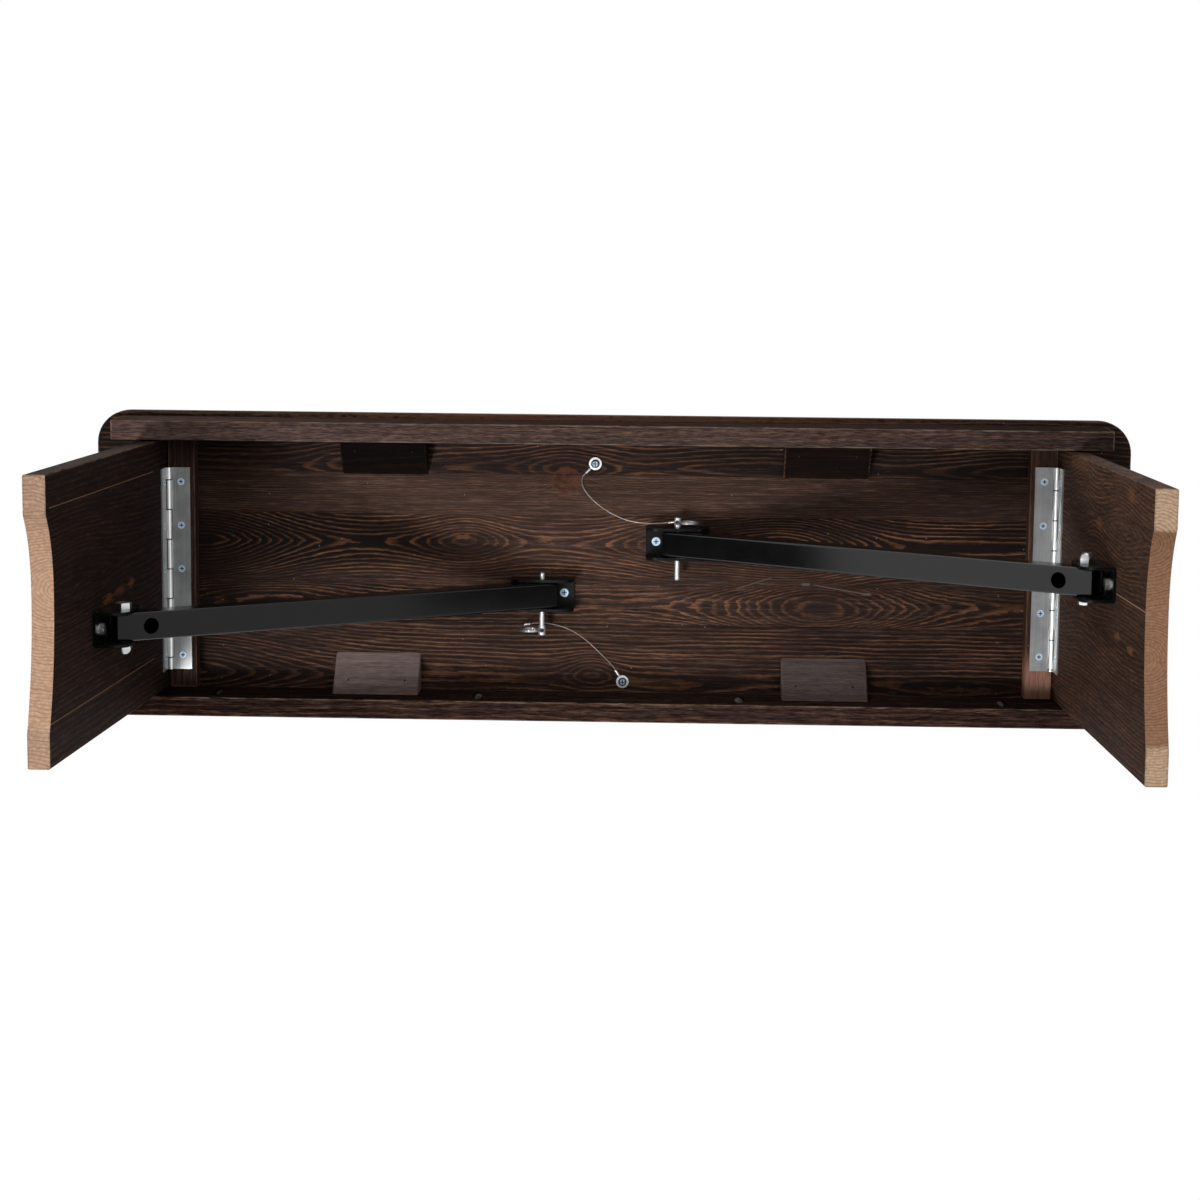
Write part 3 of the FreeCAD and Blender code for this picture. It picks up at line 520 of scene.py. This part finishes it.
def stainedWood(name, wood):
    material, tree, shader = newFinish(name)
    place = objectPlace(tree, wood["turn"])
    along, across = parted(tree, place)[:2]
    seed = wood["seed"]
    lines, drift = figureLines(tree, place, wood)
    patches = step(tree, noise(tree, place, grainSizes["patches"], seed + 11, detail=3), 0.32, 0.64)
    fibres = noise(tree, place, grainSizes["fibres"], seed + 17, detail=4, roughness=0.72)
    streaks = noise(tree, place, grainSizes["streaks"], seed + 23, detail=4, roughness=0.55)
    clouds = noise(tree, place, grainSizes["clouds"], seed + 29, detail=3)
    # stain: darker and lighter fibres
    tone = total(tree, [
        calc(tree, "MULTIPLY", step(tree, fibres, 0.36, 0.62), 0.44),
        calc(tree, "MULTIPLY", step(tree, streaks, 0.36, 0.64), 0.34),
        calc(tree, "MULTIPLY", step(tree, clouds, 0.30, 0.70), 0.22),
    ])
    colour = colourMix(tree, tone, wood["dark"], wood["mid"])
    # darker spans, partly pooled stain and partly painted shade where the light falls off, and ovals of
    # painted shadow cast by nearby parts
    clearOfStainAndShade = 1.0
    for start, end, share in wood["stainAndShadeSpans"]:
        clearOfStainAndShade = product(tree, clearOfStainAndShade, calc(tree, "MULTIPLY_ADD", step(tree, along, start, end), -share, 1))
    for *spot, strength in wood["paintedShadows"]:
        near = step(tree, ovalDistance(tree, along, across, spot), 1.3, 0.5)
        clearOfStainAndShade = product(tree, clearOfStainAndShade, calc(tree, "MULTIPLY_ADD", near, -strength, 1))
    colour = colourMix(tree, clearOfStainAndShade, wood["stainAndShadeColour"], colour)
    # late wood took less stain, and its lines show through the darker stain and the painted shade too
    shown = calc(tree, "MULTIPLY_ADD", clearOfStainAndShade, 0.30, 0.70)
    glow = product(tree, lines, calc(tree, "MULTIPLY_ADD", patches, 0.65, 0.35), wood["contrast"])
    combed = calc(tree, "MULTIPLY_ADD", step(tree, fibres, 0.36, 0.60), 0.60, 0.40)
    colour = colourMix(tree, product(tree, glow, combed, shown), colour, wood["line"])
    brushed = product(
        tree, step(tree, fibres, 0.52, 0.66), step(tree, streaks, 0.40, 0.60), wood["brushed"], clearOfStainAndShade,
    )
    colour = colourMix(tree, brushed, colour, wood["fibre"])
    grit = noise(tree, place, grainSizes["grit"], seed + 53, detail=3, roughness=0.65)
    grit = calc(tree, "MULTIPLY_ADD", step(tree, grit, 0.32, 0.68), 2 * wood["grit"], 1 - wood["grit"])
    colour = colourMix(tree, 1.0, colour, grit, "MULTIPLY")
    for knot in wood["knots"]:
        colour = knotMark(tree, place, knot, wood, colour)
    # scuffs down to the bare wood, with ragged edges
    ragged = noise(tree, place, grainSizes["ragged"], seed + 47, detail=4, roughness=0.6)
    ragged = calc(tree, "MULTIPLY_ADD", ragged, 2.6, -1.3)
    for *spot, strength in wood["scuffs"]:
        distance = calc(tree, "ADD", ovalDistance(tree, along, across, spot), ragged)
        scuff = product(tree, step(tree, distance, 0.9, 0.3), strength, clearOfStainAndShade)
        colour = colourMix(tree, scuff, colour, wood["line"])
    # pale glue lines, scratches, dried drops and dust
    for scratch in wood["scratches"]:
        colour = colourMix(tree, scratchLine(tree, along, across, scratch), colour, wood["scratch"])
    dust = product(tree, dustSpecks(tree, place), wood["dust"])
    colour = colourMix(tree, dust, colour, dustGrains["colour"])
    if "raw" in wood:
        colour = rawEnd(tree, place, drift, wood, colour)
    # edges rubbed through the stain
    low, high = turnedBox(wood["panel"], wood["turn"])
    rubbed = noise(tree, place, grainSizes["rubbed"], seed + 41, detail=4)
    rubbed = calc(tree, "MULTIPLY_ADD", rubbed, 4.0, -2.0)
    edge = calc(tree, "ADD", edgeDistance(tree, place, low, high), rubbed)
    wear = product(tree, step(tree, edge, 1.6, 0.2), wood["wear"])
    colour = colourMix(tree, wear, colour, wood["worn"])
    plug(tree, colour, shader.inputs["Base Color"])
    plug(tree, calc(tree, "MULTIPLY_ADD", fibres, 0.25, wood["roughness"]), shader.inputs["Roughness"])
    shader.inputs["Specular IOR Level"].default_value = wood["specular"]
    height = total(tree, [calc(tree, "MULTIPLY", lines, 0.6), calc(tree, "MULTIPLY", fibres, 0.5)])
    bump(tree, shader, height, wood["relief"], 0.5)
    return material


# what all the wood shares; lengths in its lists are in mm, along the grain and across it
# stain and shade span: from, to, share, partly darker stain and partly painted shade; painted shadow, scuff:
# middle, line, half length, half width, strength
# scratch: from along, from across, to along, to across, width; knot: middle, line, half length, half width
stain = {
    "turn": (0, 0, 0),
    "dark": (0.0150, 0.0084, 0.0074),
    "mid": (0.0560, 0.0310, 0.0250),
    "line": (0.250, 0.112, 0.056),
    "worn": (0.230, 0.130, 0.085),
    # the colour of the darker stain and of the painted shade and shadows
    "stainAndShadeColour": (0.0030, 0.0018, 0.0015),
    "knotDark": (0.036, 0.014, 0.009),
    "knotLight": (0.105, 0.040, 0.022),
    "knots": [],
    "stainAndShadeSpans": [],
    "paintedShadows": [],
    "scuffs": [],
    "scratches": [],
    "scratch": (0.130, 0.092, 0.078),
    "dust": 0.35,
    "fibre": (0.175, 0.108, 0.080),
    "brushed": 0.34,
    "grit": 0.20,
    "specular": 0.06,
    "wander": 7.0,
    "jag": 2.4,
    "contrast": 0.85,
    "wear": 0.5,
    "roughness": 0.48,
    "relief": 0.0004,  # metres
}

# seat boards; a figure's pith is (across, depth), and an eye is (middle, line, half length, half width, dip)
seatKnots = [(-44, -85, 15, 14)]
# darker towards the seat's ends: partly darker stain, partly painted shade where the light falls off
seatStainAndShade = [(-250, -420, 0.60), (60, 240, 0.38), (240, 420, 0.42)]
seatPanel = ["seat_board_1", "seat_board_2", "seat_board_3", "seat_board_4"]
seatBoards = {
    "seat_board_1": {
        # board 1 darker all over and at its right end: partly painted shade along the front apron
        "seed": 1.0, "knots": seatKnots, "mid": (0.026, 0.0143, 0.0125), "dark": (0.0084, 0.0047, 0.0044),
        "paintedShadows": [(165, -112, 120, 30, 0.45)],
        "scuffs": [(0, -146, 560, 5, 0.40)],
        "figures": [{
            "pith": (-98, 442), "spacing": 4.8, "phase": 0.25,
            "eyes": [
                (-258, -106, 40, 26, 12), (-44, -88, 46, 40, 22), (-128, -98, 50, 30, 4),
                (165, -100, 125, 40, 12), (400, -98, 75, 40, 16),
            ],
        }],
    },
    "seat_board_2": {
        "seed": 2.0, "knots": seatKnots, "mid": (0.082, 0.0460, 0.0352), "dark": (0.022, 0.0123, 0.0098),
        "brushed": 0.55,
        "figures": [{
            "pith": (-190, 443), "spacing": 2.2, "phase": 0.0, "strength": 0.45,
            "eyes": [(-44, -85, 34, 16, -12)],
        }],
    },
    "seat_board_3": {
        "seed": 3.0, "mid": (0.054, 0.0300, 0.0242), "dark": (0.0120, 0.0068, 0.0060), "brushed": 0.45,
        # darker at the left end: partly painted shade of the left leg; the ovals are painted shadows of the
        # braces and of the left leg
        "stainAndShadeSpans": seatStainAndShade + [(-150, -300, 0.45)],
        "paintedShadows": [(300, -34, 230, 24, 0.80), (-225, 40, 190, 24, 0.76), (-290, -24, 130, 34, 0.88)],
        "scuffs": [
            (-342, 28, 14, 3, 0.30), (-290, 26, 18, 3.5, 0.34), (-212, 26, 12, 2.5, 0.32),
            (-147, -28, 11, 4, 0.55), (-63, -26, 12, 5, 0.40),
        ],
        "scratches": [
            (123, 21, 161, 8, 0.7), (199, 15, 252, 24, 0.7),
            (187, 15, 199, 15, 2.0), (247, 24, 259, 24, 1.8),  # dried drops
        ],
        "figures": [
            {
                "pith": (-22, 443), "spacing": 4.0, "phase": 0.35, "strength": 1.35,
                "fades": [(24, 2)], "ends": [(-480, -280)],
                "eyes": [
                    (-405, -22, 85, 60, 40), (-140, -27, 38, 30, 17), (-180, -20, 40, 40, 4),
                    (66, -24, 60, 40, 19), (172, -24, 72, 50, 34),
                ],
            },
            {
                "pith": (38, 454), "spacing": 2.6, "phase": 0.70, "strength": 1.15, "fades": [(10, 26)],
                "eyes": [(206, 38, 92, 60, 28), (-330, 40, 90, 30, 12)],
            },
        ],
    },
    "seat_board_4": {
        "seed": 4.0, "mid": (0.029, 0.0160, 0.0130), "dark": (0.0090, 0.0051, 0.0044), "brushed": 0.40,
        "stainAndShadeSpans": seatStainAndShade[:2],
        "scuffs": [
            (-266, 104, 9, 12, 0.16), (-168, 106, 16, 10, 0.16), (282, 114, 12, 10, 0.16),
            (348, 118, 42, 4, 0.4),
        ],
        "figures": [{
            "pith": (112, 446), "spacing": 4.2, "phase": 0.1,
            "eyes": [
                (-430, 100, 135, 60, 34), (-18, 104, 24, 18, 13), (60, 128, 60, 16, 8),
                (345, 124, 90, 16, 8),
            ],
        }],
    },
}
for name, look in seatBoards.items():
    paint(stainedWood("stained_" + name, {**stain, "panel": seatPanel, "stainAndShadeSpans": seatStainAndShade, **look}), name)


def straightGrained(pieces, wood):
    # pieces with plain lines along them
    for name, look in pieces.items():
        piece = {**wood, "panel": [name], **look}
        figure = {"pith": piece["pith"], "spacing": piece["spacing"], "phase": 0.0, "eyes": []}
        paint(stainedWood("stained_" + name, {**piece, "figures": [figure]}), name)


# aprons: grain along the bench, with a streaky worn bottom edge
aprons = {
    # the front apron is paler than the rear one: painted light, falling off toward the rear
    "front_apron": {
        "seed": 5.0, "pith": (300, 95), "mid": (0.150, 0.099, 0.087), "dark": (0.062, 0.041, 0.037),
        "stainAndShadeSpans": [(-470, -100, 0.44), (100, 450, 0.30), (-430, -490, 0.28)],
    },
    "rear_apron": {
        "seed": 6.0, "pith": (330, -160), "mid": (0.046, 0.0270, 0.0230), "dark": (0.0165, 0.0098, 0.0085),
        "stainAndShadeSpans": [(60, -380, 0.55)], "contrast": 0.36,
    },
}
apronWood = {
    **stain, "turn": (-90, 0, 0), "spacing": 3.4, "contrast": 0.55, "wear": 0.60, "brushed": 0.6,
    "worn": (0.32, 0.225, 0.165), "grit": 0.50, "specular": 0.0,
}
straightGrained(aprons, apronWood)

# legs: grain up and down, pale glue lines between the boards, raw end grain underfoot
leftEnd = {
    "light": (0.56, 0.375, 0.26), "shade": (0.40, 0.25, 0.17), "ring": (0.25, 0.13, 0.078), "rings": 1.6,
    # arch: painted light, the left foot's arch lighter for its other slope
    "arch": (1.15, 1.12, 1.10),
}
rightEnd = {
    "light": (0.80, 0.57, 0.39), "shade": (0.60, 0.40, 0.26), "ring": (0.36, 0.20, 0.12), "rings": 1.6,
    "arch": (0.56, 0.44, 0.39),
}
legs = {
    "left": {
        "turn": (0, 87.5, 0), "raw": leftEnd,
        # the left leg darker than the right one: painted shade, its inner face turned away from the light
        "mid": (0.0300, 0.0186, 0.0162), "dark": (0.0090, 0.0058, 0.0052),
        "contrast": 0.26, "spacing": 5.2, "scratch": (0.42, 0.225, 0.125),
        "glueLines": [("left_leg_board_1", -10, 350), ("left_leg_board_2", -20, 345)],
        "scuffs": [(172, 6, 26, 7, 0.75), (215, 3, 26, 5, 0.50), (256, 1, 18, 6, 0.65)],
        "boards": {
            "left_leg_board_1": {"pith": (-60, 470), "eyes": []},
            "left_leg_board_2": {
                "pith": (-25, 455), "eyes": [(60, -30, 160, 60, 24), (330, 30, 120, 60, 16)],
            },
            "left_leg_board_3": {"pith": (160, 470), "eyes": []},
        },
    },
    "right": {
        "turn": (0, 92.5, 0), "raw": rightEnd,
        "mid": (0.086, 0.0510, 0.0390), "dark": (0.0230, 0.0132, 0.0100),
        "contrast": 0.90, "spacing": 4.4, "scratch": (0.52, 0.34, 0.235),
        "glueLines": [("right_leg_board_1", -20, 122)],
        "scuffs": [
            (69, -109, 20, 9, 0.50), (202, -72, 18, 6, 0.50), (300, -118, 60, 9, 0.35),
            (108, 17, 14, 5, 0.9), (54, 21, 18, 6, 0.9),
        ],
        "boards": {
            "right_leg_board_1": {
                "pith": (-77, -455), "eyes": [(108, -76, 75, 50, 16), (285, -82, 40, 50, 18)],
            },
            "right_leg_board_2": {
                "pith": (21, -455), "eyes": [(70, 20, 150, 60, 16), (390, 40, 90, 60, 18)],
            },
        },
    },
}
glueLineWidth = 0.7  # mm
for end, leg in legs.items():
    shared = {key: leg[key] for key in ("turn", "raw", "mid", "dark", "contrast", "scratch", "scuffs")}
    scratches = []
    for board, start, stop in leg["glueLines"]:
        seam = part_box(board)[1].y * 1000
        scratches.append((start, seam, stop, seam, glueLineWidth))
    for number, (name, look) in enumerate(leg["boards"].items()):
        figure = {"pith": look["pith"], "spacing": leg["spacing"], "phase": 0.2, "eyes": look["eyes"]}
        wood = {
            **stain, "panel": list(leg["boards"]), "seed": 7.0 + number + len(end), "figures": [figure],
            "scratches": scratches, "specular": 0.012, "brushed": 0.20, "grit": 0.34, **shared,
        }
        paint(stainedWood("stained_" + name, wood), name)

# cleats across the seat and the glue blocks in its corners
cleats = {
    # the left cleat darker: painted shadow of the left leg
    "left_cleat": {
        "seed": 21.0, "pith": (380, 500), "mid": (0.052, 0.029, 0.024), "dark": (0.021, 0.0116, 0.0098),
    },
    "right_cleat": {
        # the right cleat pale, with painted shade over all but one end, which stays pale as painted light
        "seed": 22.0, "pith": (-380, 500), "mid": (0.42, 0.215, 0.150), "dark": (0.29, 0.145, 0.100),
        "stainAndShadeSpans": [(100, 70, 0.88)],
    },
}
straightGrained(cleats, {**stain, "turn": (0, 0, -90), "spacing": 3.0, "contrast": 0.35})
# nearly black: painted shade on the front blocks
paintedShadeBlack = {
    "turn": (45, 0, 0), "mid": (0.0044, 0.0030, 0.0026), "dark": (0.0022, 0.0015, 0.0013), "contrast": 0.06,
    "wear": 0.06, "brushed": 0.03,
}
# grey: partly painted sheen, a reflection of the pale surroundings
paintedSheenGrey = {"turn": (-45, 0, 0), "contrast": 0.20, "wear": 0.35, "brushed": 0.2}
blocks = {
    "glue_block_front_left": {**paintedShadeBlack, "seed": 31.0},
    "glue_block_front_right": {**paintedShadeBlack, "seed": 32.0, "mid": (0.0110, 0.0056, 0.0042), "wear": 0.5},
    "glue_block_rear_left": {
        **paintedSheenGrey, "seed": 33.0, "mid": (0.235, 0.178, 0.170), "dark": (0.120, 0.088, 0.083),
    },
    # the rear right block darker than the left: painted shade where the light falls off to the right
    "glue_block_rear_right": {
        **paintedSheenGrey, "seed": 34.0, "mid": (0.122, 0.098, 0.092), "dark": (0.060, 0.047, 0.044), "wear": 0.6,
    },
}
straightGrained(blocks, {**stain, "pith": (200, 300), "spacing": 2.6, "roughness": 0.6})
print("wood finished")


# metal finishes
hingeBarrel = {  # in mm
    "axis": (433.0, 415.9), "radius": 2.8, "gaps": [-83, -53.7, -24.3, 5, 34.3, 63.7, 93],
    # the barrel's colour is a painted highlight and the gaps' colour painted shade
    "barrelHighlight": (0.74, 0.74, 0.73), "gapShade": (0.020, 0.019, 0.018),
}
# painted shade in the crosses of the screw heads
recessShadeColour = (0.020, 0.034, 0.060)
smudgeSizes = (14, 14, 14)  # mm
brushRelief = 0.00005  # metres


def knuckleHighlightAndShade(tree, place, colour):
    # a brighter barrel round the hinge's axis as a painted highlight, with painted shade in the gaps between
    # its knuckles
    x, y, z = parted(tree, place)
    a = calc(tree, "SUBTRACT", calc(tree, "ABSOLUTE", x), hingeBarrel["axis"][0])
    c = calc(tree, "SUBTRACT", z, hingeBarrel["axis"][1])
    away = calc(tree, "SQRT", calc(tree, "MULTIPLY_ADD", a, a, calc(tree, "MULTIPLY", c, c)))
    barrel = step(tree, away, hingeBarrel["radius"] + 0.5, hingeBarrel["radius"] + 0.1)
    colour = colourMix(tree, barrel, colour, hingeBarrel["barrelHighlight"])
    for gap in hingeBarrel["gaps"]:
        aside = calc(tree, "ABSOLUTE", calc(tree, "SUBTRACT", y, gap))
        gapShade = calc(tree, "MULTIPLY", step(tree, aside, 0.75, 0.35), barrel)
        colour = colourMix(tree, gapShade, colour, hingeBarrel["gapShade"])
    return colour


def recessShadeMarks(node, screw):
    # painted shade in the cross of each head: whatever lies deeper than the heads' faces
    outward = Vector(screw["outward"])
    face = max(vertex.co.dot(outward) for vertex in nodes[node].data.vertices) * 1000

    def marks(tree, place, colour):
        level = tree.nodes.new("ShaderNodeVectorMath")
        level.operation = "DOT_PRODUCT"
        plug(tree, place, level.inputs[0])
        level.inputs[1].default_value = outward
        sunk = step(tree, level.outputs["Value"], face - screw["depth"] / 2, face - screw["depth"])
        return colourMix(tree, sunk, colour, recessShadeColour)

    return marks


def plainMetal(name, look, marks=None):
    material, tree, shader = newFinish(name)
    place = objectPlace(tree)
    brushed = noise(tree, place, look["brushSizes"], look["seed"], detail=4, roughness=0.6)
    smudges = noise(tree, place, smudgeSizes, look["seed"] + 5, detail=3)
    colour = colourMix(tree, step(tree, smudges, 0.3, 0.7), look["shade"], look["colour"])
    hairlines = calc(tree, "MULTIPLY", step(tree, brushed, 0.35, 0.75), 0.35)
    colour = colourMix(tree, hairlines, colour, look["bright"])
    if marks:
        colour = marks(tree, place, colour)
    plug(tree, colour, shader.inputs["Base Color"])
    dullness = total(tree, [
        look["roughness"], calc(tree, "MULTIPLY", brushed, 0.05), calc(tree, "MULTIPLY", smudges, 0.06),
    ])
    plug(tree, dullness, shader.inputs["Roughness"])
    shader.inputs["Metallic"].default_value = look["metallic"]
    shader.inputs["Specular IOR Level"].default_value = look["specular"]
    bump(tree, shader, brushed, brushRelief, 0.3)
    return material


bareMetal = {"brushSizes": (1.0, 1.0, 1.0), "metallic": 1.0, "specular": 0.5}
zinc = {
    **bareMetal, "colour": (0.56, 0.57, 0.58), "shade": (0.44, 0.45, 0.46), "bright": (0.75, 0.76, 0.77),
    "brushSizes": (1.5, 1.5, 1.5),
}
blackPaint = {
    "colour": (0.0042, 0.0042, 0.0044), "shade": (0.0030, 0.0030, 0.0032),
    "bright": (0.0075, 0.0075, 0.0077), "brushSizes": (1.2, 1.2, 1.2), "metallic": 0.0,
}
metals = {
    "hinge_steel": {
        **bareMetal, "colour": (0.34, 0.345, 0.35), "shade": (0.27, 0.275, 0.28),
        "bright": (0.46, 0.465, 0.47), "brushSizes": (2.0, 60, 2.0), "roughness": 0.30, "seed": 41.0,
    },
    "black_paint": {
        **blackPaint, "bright": (0.0065, 0.0065, 0.0067), "roughness": 0.08, "specular": 0.5, "seed": 42.0,
    },
    "dull_black_paint": {**blackPaint, "roughness": 0.09, "specular": 0.24, "seed": 46.0},
    "bracket_paint": {
        **blackPaint, "shade": (0.0028, 0.0028, 0.0030), "roughness": 0.22, "specular": 0.10, "seed": 47.0,
    },
    # painted shade: the pocket screws darkened for the shadow of their pocket holes
    "shaded_zinc": {
        **bareMetal, "colour": (0.085, 0.080, 0.075), "shade": (0.040, 0.037, 0.034),
        "bright": (0.16, 0.15, 0.14), "roughness": 0.40, "seed": 48.0,
    },
    "bright_zinc": {**zinc, "roughness": 0.26, "seed": 43.0},
    "satin_zinc": {**zinc, "roughness": 0.46, "seed": 49.0},
    "dim_blue_zinc": {
        **bareMetal, "colour": (0.33, 0.42, 0.50), "shade": (0.24, 0.32, 0.40), "bright": (0.50, 0.57, 0.63),
        "roughness": 0.38, "seed": 50.0,
    },
    "blue_zinc": {
        **bareMetal, "colour": (0.60, 0.73, 0.84), "shade": (0.46, 0.58, 0.69), "bright": (0.80, 0.87, 0.93),
        "roughness": 0.38, "seed": 44.0,
    },
    "lanyard_steel": {
        **bareMetal, "colour": (0.36, 0.31, 0.285), "shade": (0.25, 0.215, 0.195),
        "bright": (0.56, 0.51, 0.48), "roughness": 0.30, "seed": 45.0,
    },
}


def atBothEnds(*pieces):
    return [end + "_" + piece for end in lanyards for piece in pieces]


metalPieces = {
    "hinge_steel": atBothEnds("hinge_fixed_leaf", "hinge_moving_leaf", "hinge_pin"),
    "bracket_paint": atBothEnds("seat_bracket", "leg_bracket"),
    "dull_black_paint": ["left_brace_tube", "block_brads"],
    "black_paint": ["right_brace_tube"],
    "bright_zinc": ["left_lanyard_end_ferrule", "lanyard_washers"] + atBothEnds(
        "leg_bracket_bolts", "leg_bracket_washers", "pivot_bolt", "pivot_nut", "split_ring",
        "lanyard_ferrule", "wire_sleeve",
    ),
    "satin_zinc": atBothEnds("lock_pin"),
    "shaded_zinc": ["apron_pocket_screws"],
    "lanyard_steel": atBothEnds("lanyard_rope"),
}
for finish, pieces in metalPieces.items():
    marks = knuckleHighlightAndShade if finish == "hinge_steel" else None
    paint(plainMetal(finish, metals[finish], marks), *pieces)

# cross-head screws: their finish, the way that the heads face, and how deep the cross is at least, in mm
legSplay = math.radians(2.5)
legTilt = (math.cos(legSplay), math.sin(legSplay))
crossScrews = {
    "left_hinge_fixed_screws": {"finish": "blue_zinc", "outward": (0, 0, -1), "depth": 0.9},
    "right_hinge_fixed_screws": {"finish": "blue_zinc", "outward": (0, 0, -1), "depth": 0.9},
    "left_hinge_moving_screws": {
        "finish": "blue_zinc", "outward": (legTilt[0], 0, -legTilt[1]), "depth": 0.4,
    },
    "right_hinge_moving_screws": {
        "finish": "blue_zinc", "outward": (-legTilt[0], 0, -legTilt[1]), "depth": 0.4,
    },
    "seat_bracket_screws": {"finish": "dim_blue_zinc", "outward": (0, 0, -1), "depth": 0.4},
    "lanyard_screws": {"finish": "dim_blue_zinc", "outward": (0, 0, -1), "depth": 0.9},
}
for node, screw in crossScrews.items():
    paint(plainMetal("crossed_" + node, metals[screw["finish"]], recessShadeMarks(node, screw)), node)
print("metal finished")


# pale floor, seen from above only, with white all round
studio = {
    "floorSize": 14.0, "floorLevel": -0.0006, "floorRoughness": 0.7,
    "floorColour": (0.80, 0.80, 0.79), "floorPale": (0.83, 0.83, 0.82), "floorMottle": (400, 400, 400),
    "ambient": (0.09, 0.09, 0.09), "white": (1.0, 1.0, 1.0),
}


def paleFloor(stage):
    bm = bmesh.new()
    place = Matrix.Translation((0, 0, stage["floorLevel"]))
    bmesh.ops.create_grid(bm, x_segments=1, y_segments=1, size=stage["floorSize"] / 2, matrix=place)
    floor = meshPiece("studio_floor", bm, smooth=False)
    material, tree, shader = newFinish("pale_floor")
    mottle = noise(tree, objectPlace(tree), stage["floorMottle"], 51.0)
    colour = colourMix(tree, mottle, stage["floorColour"], stage["floorPale"])
    plug(tree, colour, shader.inputs["Base Color"])
    shader.inputs["Roughness"].default_value = stage["floorRoughness"]
    clear = tree.nodes.new("ShaderNodeBsdfTransparent")
    sides = tree.nodes.new("ShaderNodeMixShader")
    tree.links.new(tree.nodes.new("ShaderNodeNewGeometry").outputs["Backfacing"], sides.inputs[0])
    tree.links.new(shader.outputs[0], sides.inputs[1])
    tree.links.new(clear.outputs[0], sides.inputs[2])
    tree.links.new(sides.outputs[0], tree.nodes["Material Output"].inputs["Surface"])
    floor.data.materials.append(material)
    floor.visible_shadow = False
    floor.visible_diffuse = False
    floor.visible_glossy = False


def whiteWorld(stage):
    world = bpy.data.worlds.new("studio_world")
    world.use_nodes = True
    scene.world = world
    tree = world.node_tree
    rays = tree.nodes.new("ShaderNodeLightPath")
    seen = calc(tree, "MAXIMUM", rays.outputs["Is Camera Ray"], rays.outputs["Is Glossy Ray"])
    seen = calc(tree, "MAXIMUM", seen, rays.outputs["Is Transmission Ray"])
    colour = colourMix(tree, seen, stage["ambient"], stage["white"])
    plug(tree, colour, tree.nodes["Background"].inputs["Color"])


paleFloor(studio)
whiteWorld(studio)

# lamps: a key and two fills from below for the underside, soft boxes above for the rest
lamps = {
    "key_below": {
        "place": (-1.11, 0.94, -2.41), "aim": (0, 0, 0.437), "size": 0.9, "power": 2.8, "spread": 30,
    },
    "fill_below": {
        "place": (1.1, -0.8, -2.0), "aim": (0.2, 0, 0.2), "size": 1.4, "power": 13, "spread": 180,
    },
    "fill_front": {
        "place": (-0.9, -1.6, -1.6), "aim": (-0.1, -0.1, 0.4), "size": 1.0, "power": 14, "spread": 180,
    },
    "box_front": {"place": (-0.8, -0.9, 3.0), "aim": (0, 0, 0.3), "size": 1.8, "power": 70, "spread": 180},
    "box_rear": {"place": (1.0, 1.1, 2.8), "aim": (0, 0, 0.3), "size": 1.8, "power": 40, "spread": 180},
}
for name, lamp in lamps.items():
    light = bpy.data.lights.new(name, "AREA")
    light.shape = "SQUARE"
    light.size = lamp["size"]
    light.energy = lamp["power"]
    light.spread = math.radians(lamp["spread"])
    holder = bpy.data.objects.new(name, light)
    holder.location = lamp["place"]
    toward = Vector(lamp["aim"]) - Vector(lamp["place"])
    holder.rotation_euler = toward.to_track_quat("-Z", "Y").to_euler()
    holder.visible_camera = False
    holder.visible_glossy = name.endswith("below")  # the metal mirrors only these
    scene.collection.objects.link(holder)
print("studio set")
